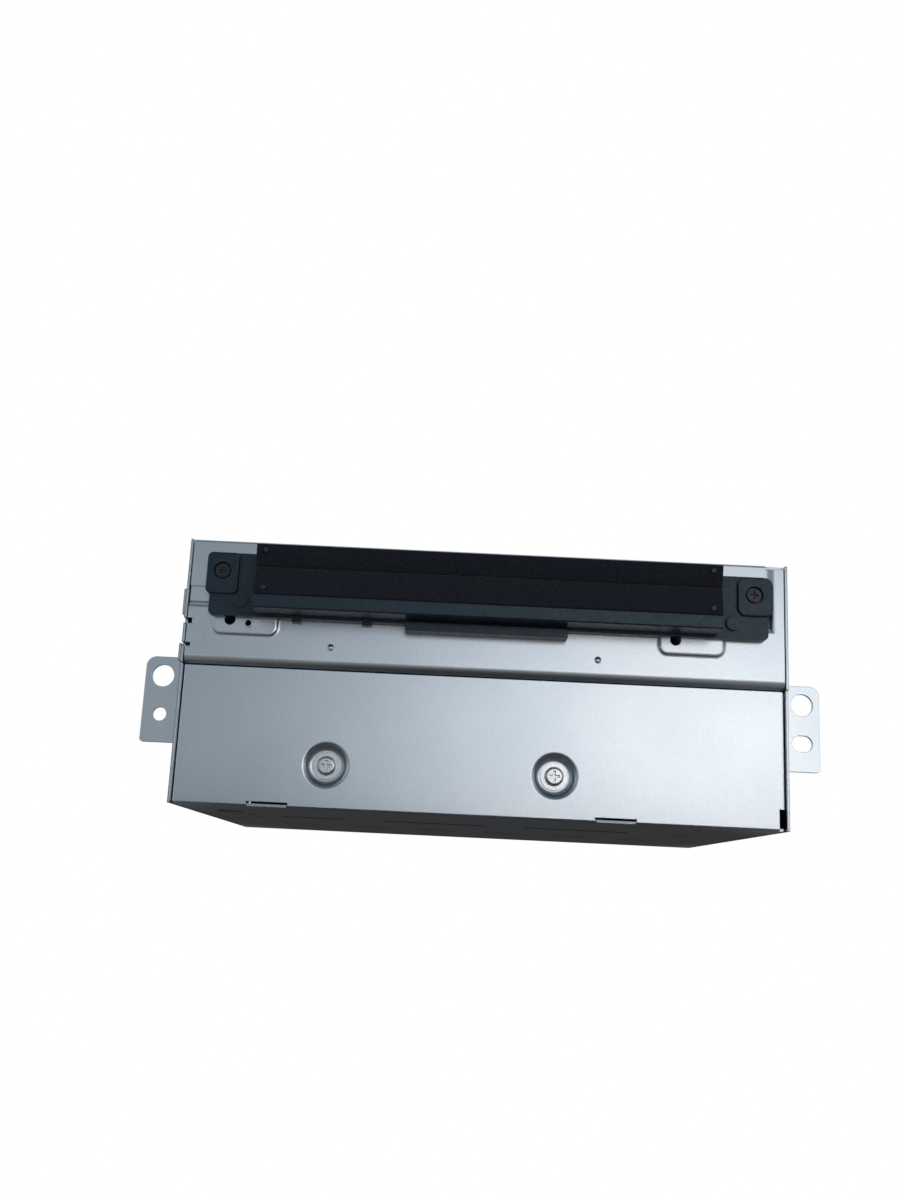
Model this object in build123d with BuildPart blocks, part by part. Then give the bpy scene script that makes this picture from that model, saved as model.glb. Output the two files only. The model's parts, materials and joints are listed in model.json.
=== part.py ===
from build123d import *
import os
from math import atan2, cos, degrees, hypot, pi, radians, sin

# A slot-loading changer for six discs, out of its dashboard, in millimetres.
# +X is to the right, +Y runs from the front to the rear and +Z is up.
# The origin is the middle of the underside of the case.

os.makedirs("parts", exist_ok=True)

# ---------------------------------------------------------------- driving sizes
# Case
case_width = 178.0
case_height = 77.9
case_depth = 150.0
sheet = 0.8
upper_height = 34.7         # the upper front plate, from the case's top down to the step
step_depth = 2.5            # how far the lower front wall stands back, and the step's bend radius
seam = 0.3                  # gap where two case sheets lie side by side
flange_height = 14.2        # the cover's front flange
flange_right_x = 82.6       # where the cover's front flange ends
right_bend = 2.4            # how wide the front plate's bend beside that flange is
joggle_drop = 18.5          # the upper front plate steps back by a sheet this far below the top
joggle_slope = 2.2
fold_depth = 4.5            # how far the front plate's folded ledge reaches in
window_length = 126.0       # disc window in the front plate
window_height = 8.0

# Lower front wall
dimple_x = (-44.6, 21.6)
dimple_z = 12.8
dimple_radius = 7.0
dimple_flat_radius = 4.3
dimple_depth = 2.6
tab_slot_x = (-60.8, 39.5)
tab_slot_length = 12.0
tab_slot_height = 0.6
tab_bar_height = 0.9
tab_bar_foot = 0.1
tab_bar_rise = 0.4          # how proud its lower edge stands; its face leans back from there
tab_bar_lean = 0.15
tab_bar_margin = 0.4
corner_notch_height = 6.2
corner_notch_width = 1.4

# Underside: each opening is x0, x1, then its near and far edge from the front
floor_openings = [(-80, -72, 28, 36), (-62, -42, 48, 54), (-30, 4, 48, 54), (16, 50, 48, 54)]
floor_holes = ((-71, 46), (-70, 60), (68, 46), (68, 60))
floor_hole_radius = 2.2
floor_slot_x = (-60, -36, -12, 12, 36, 60)
floor_slot_from_front = (92, 101)
floor_slot_length = 14.0
floor_slot_width = 3.0

# Side sheets: hooks and notches of the left one, vents and ribs of both
hook_tab_drop = ((22.9, 15.3), (36.7, 31.7))      # below the case's top
edge_notch_width = 1.4
hook_notch_drop = ((25.6, 24.0), (32.4, 31.3))    # below the case's top
hook_tab_length = 3.0
hook_tab_reach = 0.7
hook_notch_length = 2.2
vent_count = 7
vent_pitch = 10.0
vent_front = 56.0
vent_width = 3.0
vent_drop = (31.9, 15.9)    # below the case's top
rib_rise = 0.5
rib_z = (8.0, 14.0)
rib_height = 2.2
rib_front = 52.0
rib_rear = 16.0

# Rear panel
rear_vent_columns = 9
rear_vent_rows = 3
rear_vent_pitch = (8.0, 7.0)
rear_vent_size = (3.0, 4.5)
rear_vent_drop = 31.9       # the lowest row's foot below the case's top
rear_boss_x = 70.0
rear_boss_z = 40.0
rear_boss_height = 1.0
rear_boss_radius = 4.5
rear_boss_hole = 2.0

# Top cover
cover_side_front = 40.0
cover_side_height = 10.6
bead_x = (-58.0, 0.0, 58.0)
bead_length = 96.0
bead_width = 5.0
bead_depth = 0.5
bead_from_front = 79.0

# Upper front plate
pad_x = (-70.8, 60.5)
pad_width = 20.4
pad_above_step = 5.7
pad_height = 9.4
pad_rise = 0.8
pad_corner = 3.2
pad_slope = 1.3
# sections of a pad's flank: share of the rise, share of the slope
pad_flank = ((0.0, 0.0), (0.14, 0.34), (0.5, 0.5), (0.86, 0.66), (1.0, 1.0))
peg_hole_x = (-75.3, 55.7)
peg_above_pad = 4.9         # above the pad's lower edge
peg_hole_radius = 1.6
thread_boss_x = -69.8
thread_boss_above_pad = 4.0
thread_boss_radius = 1.4
thread_boss_hole = 0.9
dot_x = (-45.3, 33.1)
dot_above_step = 3.7
dot_radius = 1.0
dot_rise = 0.4

# Mounting ears
ear_reach = 102.2
ear_below_step = 24.7       # an ear's lower edge below the step
ear_height = 26.0
ear_setback = 15.0
ear_sheet = 1.2
ear_foot_length = 26.0
ear_foot_margin = 2.0
ear_corner = 3.0            # upper outer corner
ear_lower_corner = 1.0
ear_screw_low = 10.5        # above the ear's lower edge
ear_screw_high = 7.0        # below its upper edge
ear_hole_x = 96.9
ear_hole_rise = 20.2        # above the ear's lower edge
ear_hole_radius = 3.35
ear_slot_rise = 8.5
ear_slot_radius = 2.05
ear_slot_length = 6.2
ear_slot_height = 4.9

# Bezel
base_left_x = -81.5
base_right_x = 82.4
mouth_drop = 10.2           # plane of a disc on its way in, below the case's top
base_below_mouth = 13.3
base_height = 18.9
base_thickness = 2.4
base_corner = 1.6
mouth_length = 124.0
mouth_height = 6.4
holder_half_length = 67.2
holder_below_mouth = 12.5
holder_height = 18.8
holder_depth = 13.0
lip_height = 4.1
lip_chamfer = 0.35
felt_thickness = 0.9
felt_slope = 1.6
felt_slit = 0.1
bar_half_length = 23.6
bar_height = 2.5
bar_below_mouth = 15.7
bar_depth = 5.7
bezel_screw_x = (-78.1, 78.2)
bezel_pad_rise = 0.9
# each screw's pad: x0, x1, its lower and upper edge from the disc's plane and its corner radius
bezel_pads = ((-82.8, -73.3, -6.9, 5.6, 1.6), (73.2, 83.8, -6.4, 5.4, 2.6))
bezel_pad_edge = 0.5
bezel_step = (-72.4, -12.3, 5.2)    # raised strip beside the felts: its left end, bottom and top
bezel_step_rise = 0.6
boss_x = 72.0
boss_below_mouth = 8.7
boss_radius = 2.1
boss_rise = 0.5
stud_radius = 0.7
stud_proud = 0.2
hook_x = (-55.6, -35.0)
hook_length = 2.8
hook_height = 0.8

# Fasteners: radii and heights of three screw sizes
pan_head_radius = 2.75
pan_head_height = 1.7
flange_radius = 4.05        # the washer face under a panel screw's head
flange_thickness = 0.45
shank_radius = 1.45
small_head_radius = 2.1
small_head_height = 1.3
small_shank_radius = 0.95
head_clearance = 0.5        # radial, round a sunk head
head_recess = 0.2           # how deep a bezel screw's head lies below its pad
pan_cross_depth = 1.0
small_cross_depth = 0.8
tip_length = 1.0            # of a screw past the sheet it holds
screw_play = 0.05           # radial play of a shank in its hole
cover_screw_drop = 7.9      # below the case's top
cover_screw_front = 50.0    # from the front
cover_screw_rear = 12.0     # from the rear

# Electronics
board_bottom_z = 8.0
board_thickness = 1.6
board_side_gap = 7.9        # between the board and the trays' side edges
board_length = 134.0
board_front = 9.0
bracket_sheet = 1.2
bracket_foot = 14.0
bracket_margin = 11.0       # past the screws at each end
bracket_rise = 6.8          # above the screws' axis
board_screw_front = 13.0
standoff_margin = 6.0       # in from the board's side edge
standoff = 130.0            # from the front
standoff_radius = 3.0
connector_x = -32.0
connector_width = 36.0
connector_height = 14.0
connector_length = 16.0
connector_proud = 3.0
connector_wall = 2.0
socket_depth = 12.0
pin_size = 0.64
pin_length = 6.5
pin_count = 8
pin_pitch = 3.6

# Floating mechanism
chassis_side_gap = 2.0      # room for the mechanism to float beside the case's walls
chassis_sheet = 1.0
chassis_front = 5.2
chassis_rear = 143.0
chassis_height = 40.4       # from its floor to the underside of its roof
chassis_roof_drop = 3.5     # the roof's underside below the case's top
corner_bracket_drop = 10.0  # below the chassis floor
corner_bracket_sheet = 1.2
corner_bracket_length = 24.0
corner_bracket_reach = 17.2
corner_bracket_leg = 10.0
damper_margin = 7.2         # in from the chassis' side
damper_y = (22.0, 128.0)    # from the front
damper_radius = 6.0
damper_height = 5.8
damper_bore = 3.2
damper_floor = 1.2
damper_pin_radius = 2.0
damper_pin_length = 4.6
spring_radius = 7.2
spring_wire = 0.4
spring_turns = 4
spring_gap = 0.05

# Trays
disc_centre = 76.0          # from the front
tray_radius = 61.8
tray_inner_radius = 54.0
tray_thickness = 0.6
tray_pitch = 2.0
tray_mouth = 24.0           # the gap in a tray's ring that lets the pickup in
load_tray_drop = 0.9        # below a disc on its way in
stowed_tray_drop = 2.0      # below the chassis roof
waiting_rise = 14.0         # the highest waiting tray above the chassis floor
tray_arm_width = 4.4
tray_eye_radius = 5.2

# Tray lift
lift_module = 1.6
ring_teeth = 80
idler_teeth = 12
screw_teeth = 11
lift_pinion_teeth = 8
lift_gear_rise = 1.3        # above the chassis floor's underside
lift_gear_height = 2.5
ring_width = 5.0            # from the tooth roots to the bore
screw_positions = (-31, -9, 9)   # in teeth of the ring, counted from +X
lift_screw_radius = 3.0
pin_radius = 1.5
running_fit = 0.05
stud_post_radius = 2.0
guide_post_radius = 3.0     # three posts inside the ring keep it centred
guide_post_angles = (30, 150, 270)
floor_opening_radius = 40.0
roof_opening_radius = 44.0
wall_setback = 10.0         # the chassis walls' front end behind its floor's
idler_stud_radius = 1.2
motor_shaft_radius = 1.0
motor_bore_depth = 3.0
slide_gap = 0.3
tooth_share = 0.4           # tooth width as a share of the pitch
addendum = 0.7
dedendum = 0.95

# Swing fork and traverse
pivot_margin = 12.2         # in from the chassis' left side
pivot = 132.0               # from the front
pivot_shaft_radius = 2.5
fork_column_radius = 6.0
swing_module = 1.0
swing_teeth = 16
swing_pinion_teeth = 8
swing_pinion_angle = -25.0
clamp_arm_drop = 4.2        # below the chassis roof
clamp_arm_thickness = 1.2
clamp_arm_width = 12.0
clamp_eye_radius = 8.0
deck_drop = 10.7            # below a disc on its way in
deck_thickness = 1.2
deck_width = 20.0
collar_radius = 9.5
collar_drop = 5.0           # below the deck
collar_height = 9.0
lens_inner = 24.0           # from the turntable's axis
sled_travel = 34.0
sled_width = 12.0
sled_length = 16.0
sled_lug = 1.8              # wall of the sled outside its rail and screw
lug_half_length = 5.0
lug_half_height = 1.6
sled_drop = 5.2             # the sled's bottom below the rail's axis
sled_chamfer = 0.5
rail_offset = 8.0
rail_rise = 3.2             # above the deck's underside
rail_radius = 1.0
sled_screw_radius = 1.2
block_length = 2.0
block_margin = 1.5          # between the turntable's edge and the near blocks
block_half_width = 2.0
block_rise = 1.8            # over the rail's axis
spindle_motor_radius = 10.0
spindle_motor_height = 5.0
platform_radius = 9.0
platform_rise = 6.0         # above the deck's underside
platform_thickness = 1.4
hub_radius = 7.4
hub_height = 1.0
hub_taper = 0.9
spindle_radius = 1.0
spindle_hole_radius = 4.0
puck_radius = 7.5
puck_drop = 0.9             # below the clamp arm
puck_thickness = 0.6
puck_stem_radius = 2.0
puck_cap_radius = 3.5
puck_cap_height = 0.4
puck_cap_gap = 0.2
lens_radius = 3.0
lens_height = 2.6
lens_rise = 3.0             # above the deck's underside
lens_gap = 0.6              # round the lens
lens_play = 1.0             # below it
lens_rounding = 0.8
sled_motor_radius = 3.2
sled_motor_length = 11.0

# Loading drive
roller_from_front = 9.0
roller_drop = 4.7           # below a disc on its way in
roller_radius = 4.0
roller_half_length = 56.0
roller_shaft_radius = 1.5
loading_module = 0.5
roller_teeth = 20
loading_idler_teeth = 16
loading_pinion_teeth = 12
loading_idler_angle = 12.0  # from straight down, towards the rear
loading_pinion_angle = 30.0
loading_gear_x = 58.5
loading_gear_width = 3.0
bracket_x = 62.0
bracket_thickness = 1.2
motor_radius = 7.0
motor_length = 13.0
loading_motor_radius = 7.5
loading_motor_length = 18.0
loading_motor_end_x = 54.0
motor_tab_rise = 4.0        # the motor tab's top over the motor's axis
motor_tab_clear = 2.4       # how far the tab runs past that axis towards the rear
bracket_drop = 8.0          # the roller bracket's lower end below the idler's axis
guide_rise = 1.5            # above a disc on its way in
guide_thickness = 1.2
guide_half_length = 57.0
guide_length = 8.0
guide_pin_radius = 0.8
guide_pin_rise = 1.8        # above the guide's underside
guide_lug_length = 2.4
guide_lug_width = 2.5

# ---------------------------------------------------------------- derived places
half_width = case_width / 2
front_y = -case_depth / 2
rear_y = case_depth / 2
inner_half = half_width - sheet - seam
step_height = case_height - upper_height
joggle_top_z = case_height - joggle_drop
mouth_z = case_height - mouth_drop
bezel_screw_z = mouth_z
cover_screw_z = case_height - cover_screw_drop
pad_bottom_z = step_height + pad_above_step
ear_bottom_z = step_height - ear_below_step
ear_hole_z = ear_bottom_z + ear_hole_rise
ear_slot_z = ear_bottom_z + ear_slot_rise
base_bottom_z = mouth_z - base_below_mouth
holder_bottom_z = mouth_z - holder_below_mouth
board_half_width = inner_half - board_side_gap
standoff_x = board_half_width - standoff_margin
chassis_half_width = half_width - sheet - chassis_side_gap
chassis_roof_z = case_height - chassis_roof_drop
chassis_floor_z = chassis_roof_z - chassis_height
corner_bracket_z = chassis_floor_z - corner_bracket_drop
damper_x = chassis_half_width - damper_margin
lift_gear_z = chassis_floor_z + lift_gear_rise
pivot_x = pivot_margin - chassis_half_width
clamp_arm_z = chassis_roof_z - clamp_arm_drop
puck_z = clamp_arm_z - puck_drop
deck_z = mouth_z - deck_drop
rail_z = deck_z + rail_rise
platform_z = deck_z + platform_rise
lens_bottom_z = deck_z + lens_rise
roller_z = mouth_z - roller_drop
guide_z = mouth_z + guide_rise
guide_pin_z = guide_z + guide_pin_rise
tray_wall_y = front_y + step_depth
disc_y = front_y + disc_centre
pivot_y = front_y + pivot
roller_y = front_y + roller_from_front
ring_radius = lift_module * ring_teeth / 2
idler_radius = lift_module * idler_teeth / 2
screw_gear_radius = lift_module * screw_teeth / 2
lift_pinion_radius = lift_module * lift_pinion_teeth / 2
idler_orbit = ring_radius + idler_radius
screw_orbit = idler_orbit + idler_radius + screw_gear_radius
screw_angles = [count * 360 / ring_teeth for count in screw_positions]
arm_length = hypot(pivot_x, pivot_y - disc_y)
turntable_y = pivot_y - arm_length
swing_spacing = swing_module * (swing_teeth + swing_pinion_teeth) / 2
swing_pinion_x = pivot_x + swing_spacing * cos(radians(swing_pinion_angle))
swing_pinion_y = pivot_y + swing_spacing * sin(radians(swing_pinion_angle))
lift_pinion_x = ring_radius + lift_pinion_radius
lens_y = turntable_y + lens_inner
idler_spacing = loading_module * (roller_teeth + loading_idler_teeth) / 2
pinion_spacing = loading_module * (loading_idler_teeth + loading_pinion_teeth) / 2
loading_idler_y = roller_y + idler_spacing * sin(radians(loading_idler_angle))
loading_idler_z = roller_z - idler_spacing * cos(radians(loading_idler_angle))
loading_pinion_y = loading_idler_y + pinion_spacing * sin(radians(loading_pinion_angle))
loading_pinion_z = loading_idler_z - pinion_spacing * cos(radians(loading_pinion_angle))
plate_y = front_y + sheet                 # the joggled-back part of the front plate
base_back_y = front_y - pad_rise
base_front_y = base_back_y - base_thickness
bezel_seat_y = base_front_y - bezel_pad_rise + small_head_height + head_recess
holder_front_y = front_y - holder_depth
board_top_z = board_bottom_z + board_thickness
bracket_wall_y = tray_wall_y + dimple_depth + sheet
deck_top_z = deck_z + deck_thickness
cover_screw_y = (front_y + cover_screw_front, rear_y - cover_screw_rear)
ear_screw_y = front_y + ear_setback + 0.7 * ear_foot_length
ear_screw_z = (ear_bottom_z + ear_screw_low, ear_bottom_z + ear_height - ear_screw_high)
board_screw_front_y = front_y + board_screw_front
guide_pin_y = roller_y - guide_length / 2 + guide_lug_length / 2


# ---------------------------------------------------------------- shared shapes
def block(x0, x1, y0, y1, z0, z1, mode=Mode.ADD):
    """A box between two corners."""
    with Locations((x0, y0, z0)):
        Box(x1 - x0, y1 - y0, z1 - z0, align=(Align.MIN, Align.MIN, Align.MIN), mode=mode)


def post(x, y, z0, z1, radius, mode=Mode.ADD):
    """An upright cylinder."""
    with Locations((x, y, z0)):
        Cylinder(radius, z1 - z0, align=(Align.CENTER, Align.CENTER, Align.MIN), mode=mode)


def rod_y(x, z, y0, y1, radius, mode=Mode.ADD):
    """A cylinder that runs from front to rear."""
    with Locations(Location((x, (y0 + y1) / 2, z), (90, 0, 0))):
        Cylinder(radius, y1 - y0, mode=mode)


def rod_x(y, z, x0, x1, radius, mode=Mode.ADD):
    """A cylinder that runs from left to right."""
    with Locations(Location(((x0 + x1) / 2, y, z), (0, 90, 0))):
        Cylinder(radius, x1 - x0, mode=mode)


def facing(y):
    """A plane seen from the front: its x is +X, its y is +Z, and it faces the viewer."""
    return Plane(origin=(0, y, 0), x_dir=(1, 0, 0), z_dir=(0, -1, 0))


def outline(*points):
    """A closed straight-sided face in the current sketch."""
    with BuildLine() as edge:
        Polyline(*points, close=True)
    make_face(edge.edges())


def gear_points(teeth, module, phase):
    """Corners of a spur gear with straight-flanked stub teeth, one of them centred on phase."""
    pitch_radius = module * teeth / 2
    root, tip = pitch_radius - dedendum * module, pitch_radius + addendum * module
    half_pitch = tooth_share * pi * module / 2
    slope = 0.36                          # tan of the flank's angle
    half_root = (half_pitch + dedendum * module * slope) / root
    half_tip = (half_pitch - addendum * module * slope) / tip
    points = []
    for tooth in range(teeth):
        middle = radians(phase) + 2 * pi * tooth / teeth
        for angle, radius in ((-half_root, root), (-half_tip, tip), (half_tip, tip), (half_root, root)):
            points.append((radius * cos(middle + angle), radius * sin(middle + angle)))
    return points


def gear_sketch(x, y, teeth, module, phase):
    """A gear's outline round (x, y) in the current sketch."""
    outline(*[(x + px, y + py) for px, py in gear_points(teeth, module, phase)])


def upright_gear(x, y, z, height, teeth, module, phase, bore=0.0):
    """A gear on an upright axis, with a bore if it has one."""
    with BuildSketch(Plane.XY.offset(z)) as profile:
        gear_sketch(x, y, teeth, module, phase)
        if bore:
            with Locations((x, y)):
                Circle(bore, mode=Mode.SUBTRACT)
    extrude(profile.sketch, amount=height)


def side_gear(x, y, z, width, teeth, module, phase, bore=0.0):
    """A gear on an axis along X, phase counted from +Y towards +Z."""
    with BuildSketch(Plane.YZ.offset(x)) as profile:
        gear_sketch(y, z, teeth, module, phase)
        if bore:
            with Locations((y, z)):
                Circle(bore, mode=Mode.SUBTRACT)
    extrude(profile.sketch, amount=width)


def cross_recess(x, y, z, radius, depth, axis):
    """The cross in a screw's head, cut from its outer face inwards."""
    arm, web = radius * 1.1, radius * 0.26
    for long_side, short_side in ((arm, web), (web, arm)):
        if axis == "y":
            block(x - long_side / 2, x + long_side / 2, y, y + depth,
                  z - short_side / 2, z + short_side / 2, Mode.SUBTRACT)
        elif axis == "x":
            block(min(x, x - depth), max(x, x - depth), y - long_side / 2, y + long_side / 2,
                  z - short_side / 2, z + short_side / 2, Mode.SUBTRACT)
        else:
            block(x - long_side / 2, x + long_side / 2, y - short_side / 2, y + short_side / 2,
                  z - depth, z, Mode.SUBTRACT)


def dome(x, y, z, radius, rise):
    """A low dome pressed forward out of a sheet whose front face is at y."""
    with BuildSketch(Plane(origin=(x, y, z), x_dir=(1, 0, 0), z_dir=(0, 0, 1))) as cap:
        with BuildLine() as edge:
            Polyline((0, -rise), (0, sheet / 2), (radius, sheet / 2), (radius, 0))
            TangentArc((0, -rise), (radius, 0), tangent=(1, 0))
        make_face(edge.edges())
    revolve(cap.sketch, axis=Axis((x, y, z), (0, 1, 0)))


def save(part, name):
    """Label a finished piece and write it under its own name."""
    part.label = name
    export_step(part, f"parts/{name}.step")


def around_disc(radius, angle):
    """A point at a radius and an angle round the disc's axis."""
    return (radius * cos(radians(angle)), disc_y + radius * sin(radians(angle)))


# ---------------------------------------------------------------- case sheets
lower_wall_top = step_height - step_depth - seam

with BuildPart() as bottom_tray:
    block(-inner_half, inner_half, tray_wall_y, rear_y - sheet - seam, 0, sheet)
    block(-inner_half, inner_half, tray_wall_y, tray_wall_y + sheet, 0, lower_wall_top)
    front_edge = bottom_tray.edges().filter_by(Axis.X).group_by(Axis.Z)[0].sort_by(Axis.Y)[0]
    fillet(front_edge, sheet * 0.9)
    for x in tab_slot_x:
        block(x - tab_slot_length / 2, x + tab_slot_length / 2, tray_wall_y - seam, tray_wall_y + sheet,
              tab_bar_height, tab_bar_height + tab_slot_height, Mode.SUBTRACT)
        with BuildSketch(Plane.YZ.offset(x - tab_slot_length / 2 + tab_bar_margin)):
            outline((tray_wall_y + sheet / 2, tab_bar_foot), (tray_wall_y - tab_bar_rise, tab_bar_foot),
                    (tray_wall_y - tab_bar_rise + tab_bar_lean, tab_bar_height),
                    (tray_wall_y + sheet / 2, tab_bar_height))
        extrude(amount=tab_slot_length - 2 * tab_bar_margin)
    block(inner_half - corner_notch_width, inner_half, tray_wall_y, tray_wall_y + sheet,
          0, corner_notch_height, Mode.SUBTRACT)
    for x in dimple_x:
        rod_y(x, dimple_z, tray_wall_y, tray_wall_y + sheet, dimple_radius, Mode.SUBTRACT)
    for x in dimple_x:
        dish = Plane(origin=(x, tray_wall_y, dimple_z), x_dir=(1, 0, 0), z_dir=(0, 0, 1))
        middle_radius = (dimple_radius + dimple_flat_radius) / 2
        hole = shank_radius + screw_play
        with BuildSketch(dish):
            with BuildLine():
                rim = TangentArc((dimple_radius, 0), (middle_radius, dimple_depth / 2), tangent=(-1, 0))
                toe = TangentArc(rim @ 1, (dimple_flat_radius, dimple_depth), tangent=rim % 1)
                Polyline(toe @ 1, (hole, dimple_depth), (hole, dimple_depth + sheet),
                         (dimple_flat_radius, dimple_depth + sheet))
                heel = TangentArc((dimple_flat_radius, dimple_depth + sheet),
                                  (middle_radius, dimple_depth / 2 + sheet), tangent=(1, 0))
                TangentArc(heel @ 1, (dimple_radius, sheet), tangent=heel % 1)
                Line((dimple_radius, sheet), (dimple_radius, 0))
            make_face()
        revolve(axis=Axis((x, tray_wall_y, dimple_z), (0, 1, 0)))
    # openings of the underside, seen at a grazing angle below the front wall
    for x0, x1, near, far in floor_openings:
        block(x0, x1, front_y + near, front_y + far, 0, sheet, Mode.SUBTRACT)
    for x, from_front in floor_holes:
        post(x, front_y + from_front, 0, sheet, floor_hole_radius, Mode.SUBTRACT)
    for x in floor_slot_x:
        for from_front in floor_slot_from_front:
            block(x - floor_slot_length / 2, x + floor_slot_length / 2, front_y + from_front,
                  front_y + from_front + floor_slot_width, 0, sheet, Mode.SUBTRACT)
    for side in (-1, 1):
        post(side * standoff_x, front_y + standoff, sheet, board_bottom_z, standoff_radius)
        post(side * standoff_x, front_y + standoff, sheet, board_bottom_z,
             small_shank_radius + screw_play, Mode.SUBTRACT)
save(bottom_tray.part, "bottom_tray")

plate_top_z = case_height - sheet - seam
inner_bend = step_depth - sheet

with BuildPart() as front_plate:
    # flat front, quarter-round bend and folded ledge, as one bent strip
    with BuildSketch(Plane.YZ.offset(-inner_half)):
        with BuildLine():
            Polyline((front_y + step_depth, step_height - step_depth + sheet),
                     (front_y + fold_depth, step_height - step_depth + sheet),
                     (front_y + fold_depth, step_height - step_depth),
                     (front_y + step_depth, step_height - step_depth))
            RadiusArc((front_y + step_depth, step_height - step_depth), (front_y, step_height), step_depth)
            joggle_foot_z, joggle_middle_z = joggle_top_z - joggle_slope, joggle_top_z - joggle_slope / 2
            Line((front_y, step_height), (front_y, joggle_foot_z))
            outer = TangentArc((front_y, joggle_foot_z), (front_y + sheet / 2, joggle_middle_z),
                               tangent=(0, 1))
            TangentArc(outer @ 1, (plate_y, joggle_top_z), tangent=outer % 1)
            Polyline((plate_y, joggle_top_z), (plate_y, plate_top_z), (plate_y + sheet, plate_top_z),
                     (plate_y + sheet, joggle_top_z - sheet / 3))
            inner = TangentArc((plate_y + sheet, joggle_top_z - sheet / 3),
                               (plate_y + sheet / 2, joggle_middle_z - sheet / 3), tangent=(0, -1))
            TangentArc(inner @ 1, (front_y + sheet, joggle_foot_z - sheet / 3), tangent=inner % 1)
            Line((front_y + sheet, joggle_foot_z - sheet / 3), (front_y + sheet, step_height))
            RadiusArc((front_y + sheet, step_height),
                      (front_y + step_depth, step_height - inner_bend), -inner_bend)
        make_face()
    extrude(amount=2 * inner_half)
    # the plate's right-hand end is flush to the top, past the end of the cover's flange
    bend_x = flange_right_x + seam
    with BuildSketch(Plane.XY.offset(joggle_top_z - joggle_slope)):
        with BuildLine():
            Line((bend_x, plate_y + sheet), (bend_x, plate_y))
            into = TangentArc((bend_x, plate_y), (bend_x + right_bend / 2, plate_y - sheet / 2), tangent=(1, 0))
            TangentArc(into @ 1, (bend_x + right_bend, front_y), tangent=into % 1)
            Polyline((bend_x + right_bend, front_y), (inner_half, front_y), (inner_half, plate_y + sheet),
                     (bend_x, plate_y + sheet))
        make_face()
    extrude(amount=plate_top_z - joggle_top_z + joggle_slope)
    for x in pad_x:
        rings = []
        for rise, inset in pad_flank:
            with BuildSketch(facing(front_y - pad_rise * rise)) as ring:
                with Locations((x, pad_bottom_z + pad_height / 2)):
                    RectangleRounded(pad_width - 2 * pad_slope * inset, pad_height - 2 * pad_slope * inset,
                                     pad_corner - pad_slope * inset)
            rings.append(ring.sketch)
        loft(sections=rings, ruled=True)
    thread_boss_z = pad_bottom_z + thread_boss_above_pad
    rod_y(thread_boss_x, thread_boss_z, front_y - pad_rise - dot_rise, front_y, thread_boss_radius)
    rod_y(thread_boss_x, thread_boss_z, front_y - pad_rise - dot_rise, plate_y,
          thread_boss_hole, Mode.SUBTRACT)
    for x in peg_hole_x:
        rod_y(x, pad_bottom_z + peg_above_pad, front_y - pad_rise, plate_y, peg_hole_radius, Mode.SUBTRACT)
    for x in dot_x:
        dome(x, front_y, step_height + dot_above_step, dot_radius, dot_rise)
    for low, high in hook_notch_drop:
        block(-inner_half, -inner_half + edge_notch_width, front_y, front_y + sheet,
              case_height - low, case_height - high, Mode.SUBTRACT)
    block(-window_length / 2, window_length / 2, front_y, plate_y + sheet,
          mouth_z - window_height / 2, mouth_z + window_height / 2, Mode.SUBTRACT)
    for x in bezel_screw_x:
        rod_y(x, bezel_screw_z, front_y, plate_y + sheet, small_shank_radius + screw_play, Mode.SUBTRACT)
save(front_plate.part, "front_plate")


def side_plate(side):
    """One side of the case: -1 is the left, 1 the right."""
    outer, inner = side * half_width, side * (half_width - sheet)
    low, high = min(outer, inner), max(outer, inner)
    with BuildPart() as plate:
        with BuildSketch(Plane.YZ.offset(low)):
            outline((front_y + sheet, 0), (rear_y, 0), (rear_y, case_height), (front_y, case_height),
                    (front_y, step_height - step_depth), (front_y + sheet, step_height - step_depth))
        extrude(amount=high - low)
        if side < 0:
            # hooked tabs and notches where the upper front plate clips over this side
            for foot, head in hook_tab_drop:
                block(low - hook_tab_reach, high, front_y + seam, front_y + seam + hook_tab_length,
                      case_height - foot, case_height - head)
            for foot, head in hook_notch_drop:
                block(low, high, front_y, front_y + hook_notch_length,
                      case_height - foot, case_height - head, Mode.SUBTRACT)
        # vent slots, stiffening ribs and the holes for the cover's screws
        for count in range(vent_count):
            y = front_y + vent_front + vent_pitch * count
            block(low, high, y, y + vent_width, case_height - vent_drop[0], case_height - vent_drop[1],
                  Mode.SUBTRACT)
        holes = [(y, cover_screw_z) for y in cover_screw_y] + [(ear_screw_y, z) for z in ear_screw_z]
        for y, z in holes:
            rod_x(y, z, low, high, shank_radius + screw_play, Mode.SUBTRACT)
        ribbed = outer + side * rib_rise
        for z in rib_z:
            block(min(outer, ribbed), max(outer, ribbed), front_y + rib_front, rear_y - rib_rear,
                  z, z + rib_height)
    return plate.part


for side, side_name in ((-1, "left"), (1, "right")):
    save(side_plate(side), f"side_plate_{side_name}")

with BuildPart() as rear_panel:
    block(-inner_half, inner_half, rear_y - sheet, rear_y, 0, plate_top_z)
    block(connector_x - connector_width / 2 - seam, connector_x + connector_width / 2 + seam,
          rear_y - sheet, rear_y, board_top_z - seam, board_top_z + connector_height + seam, Mode.SUBTRACT)
    for column in range(rear_vent_columns):
        for row in range(rear_vent_rows):
            x = (column - (rear_vent_columns - 1) / 2) * rear_vent_pitch[0] - rear_vent_size[0] / 2
            z = case_height - rear_vent_drop + row * rear_vent_pitch[1]
            block(x, x + rear_vent_size[0], rear_y - sheet, rear_y, z, z + rear_vent_size[1], Mode.SUBTRACT)
    for x in (-rear_boss_x, rear_boss_x):
        rod_y(x, rear_boss_z, rear_y, rear_y + rear_boss_height, rear_boss_radius)
        rod_y(x, rear_boss_z, rear_y - sheet, rear_y + rear_boss_height, rear_boss_hole, Mode.SUBTRACT)
save(rear_panel.part, "rear_panel")

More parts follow.
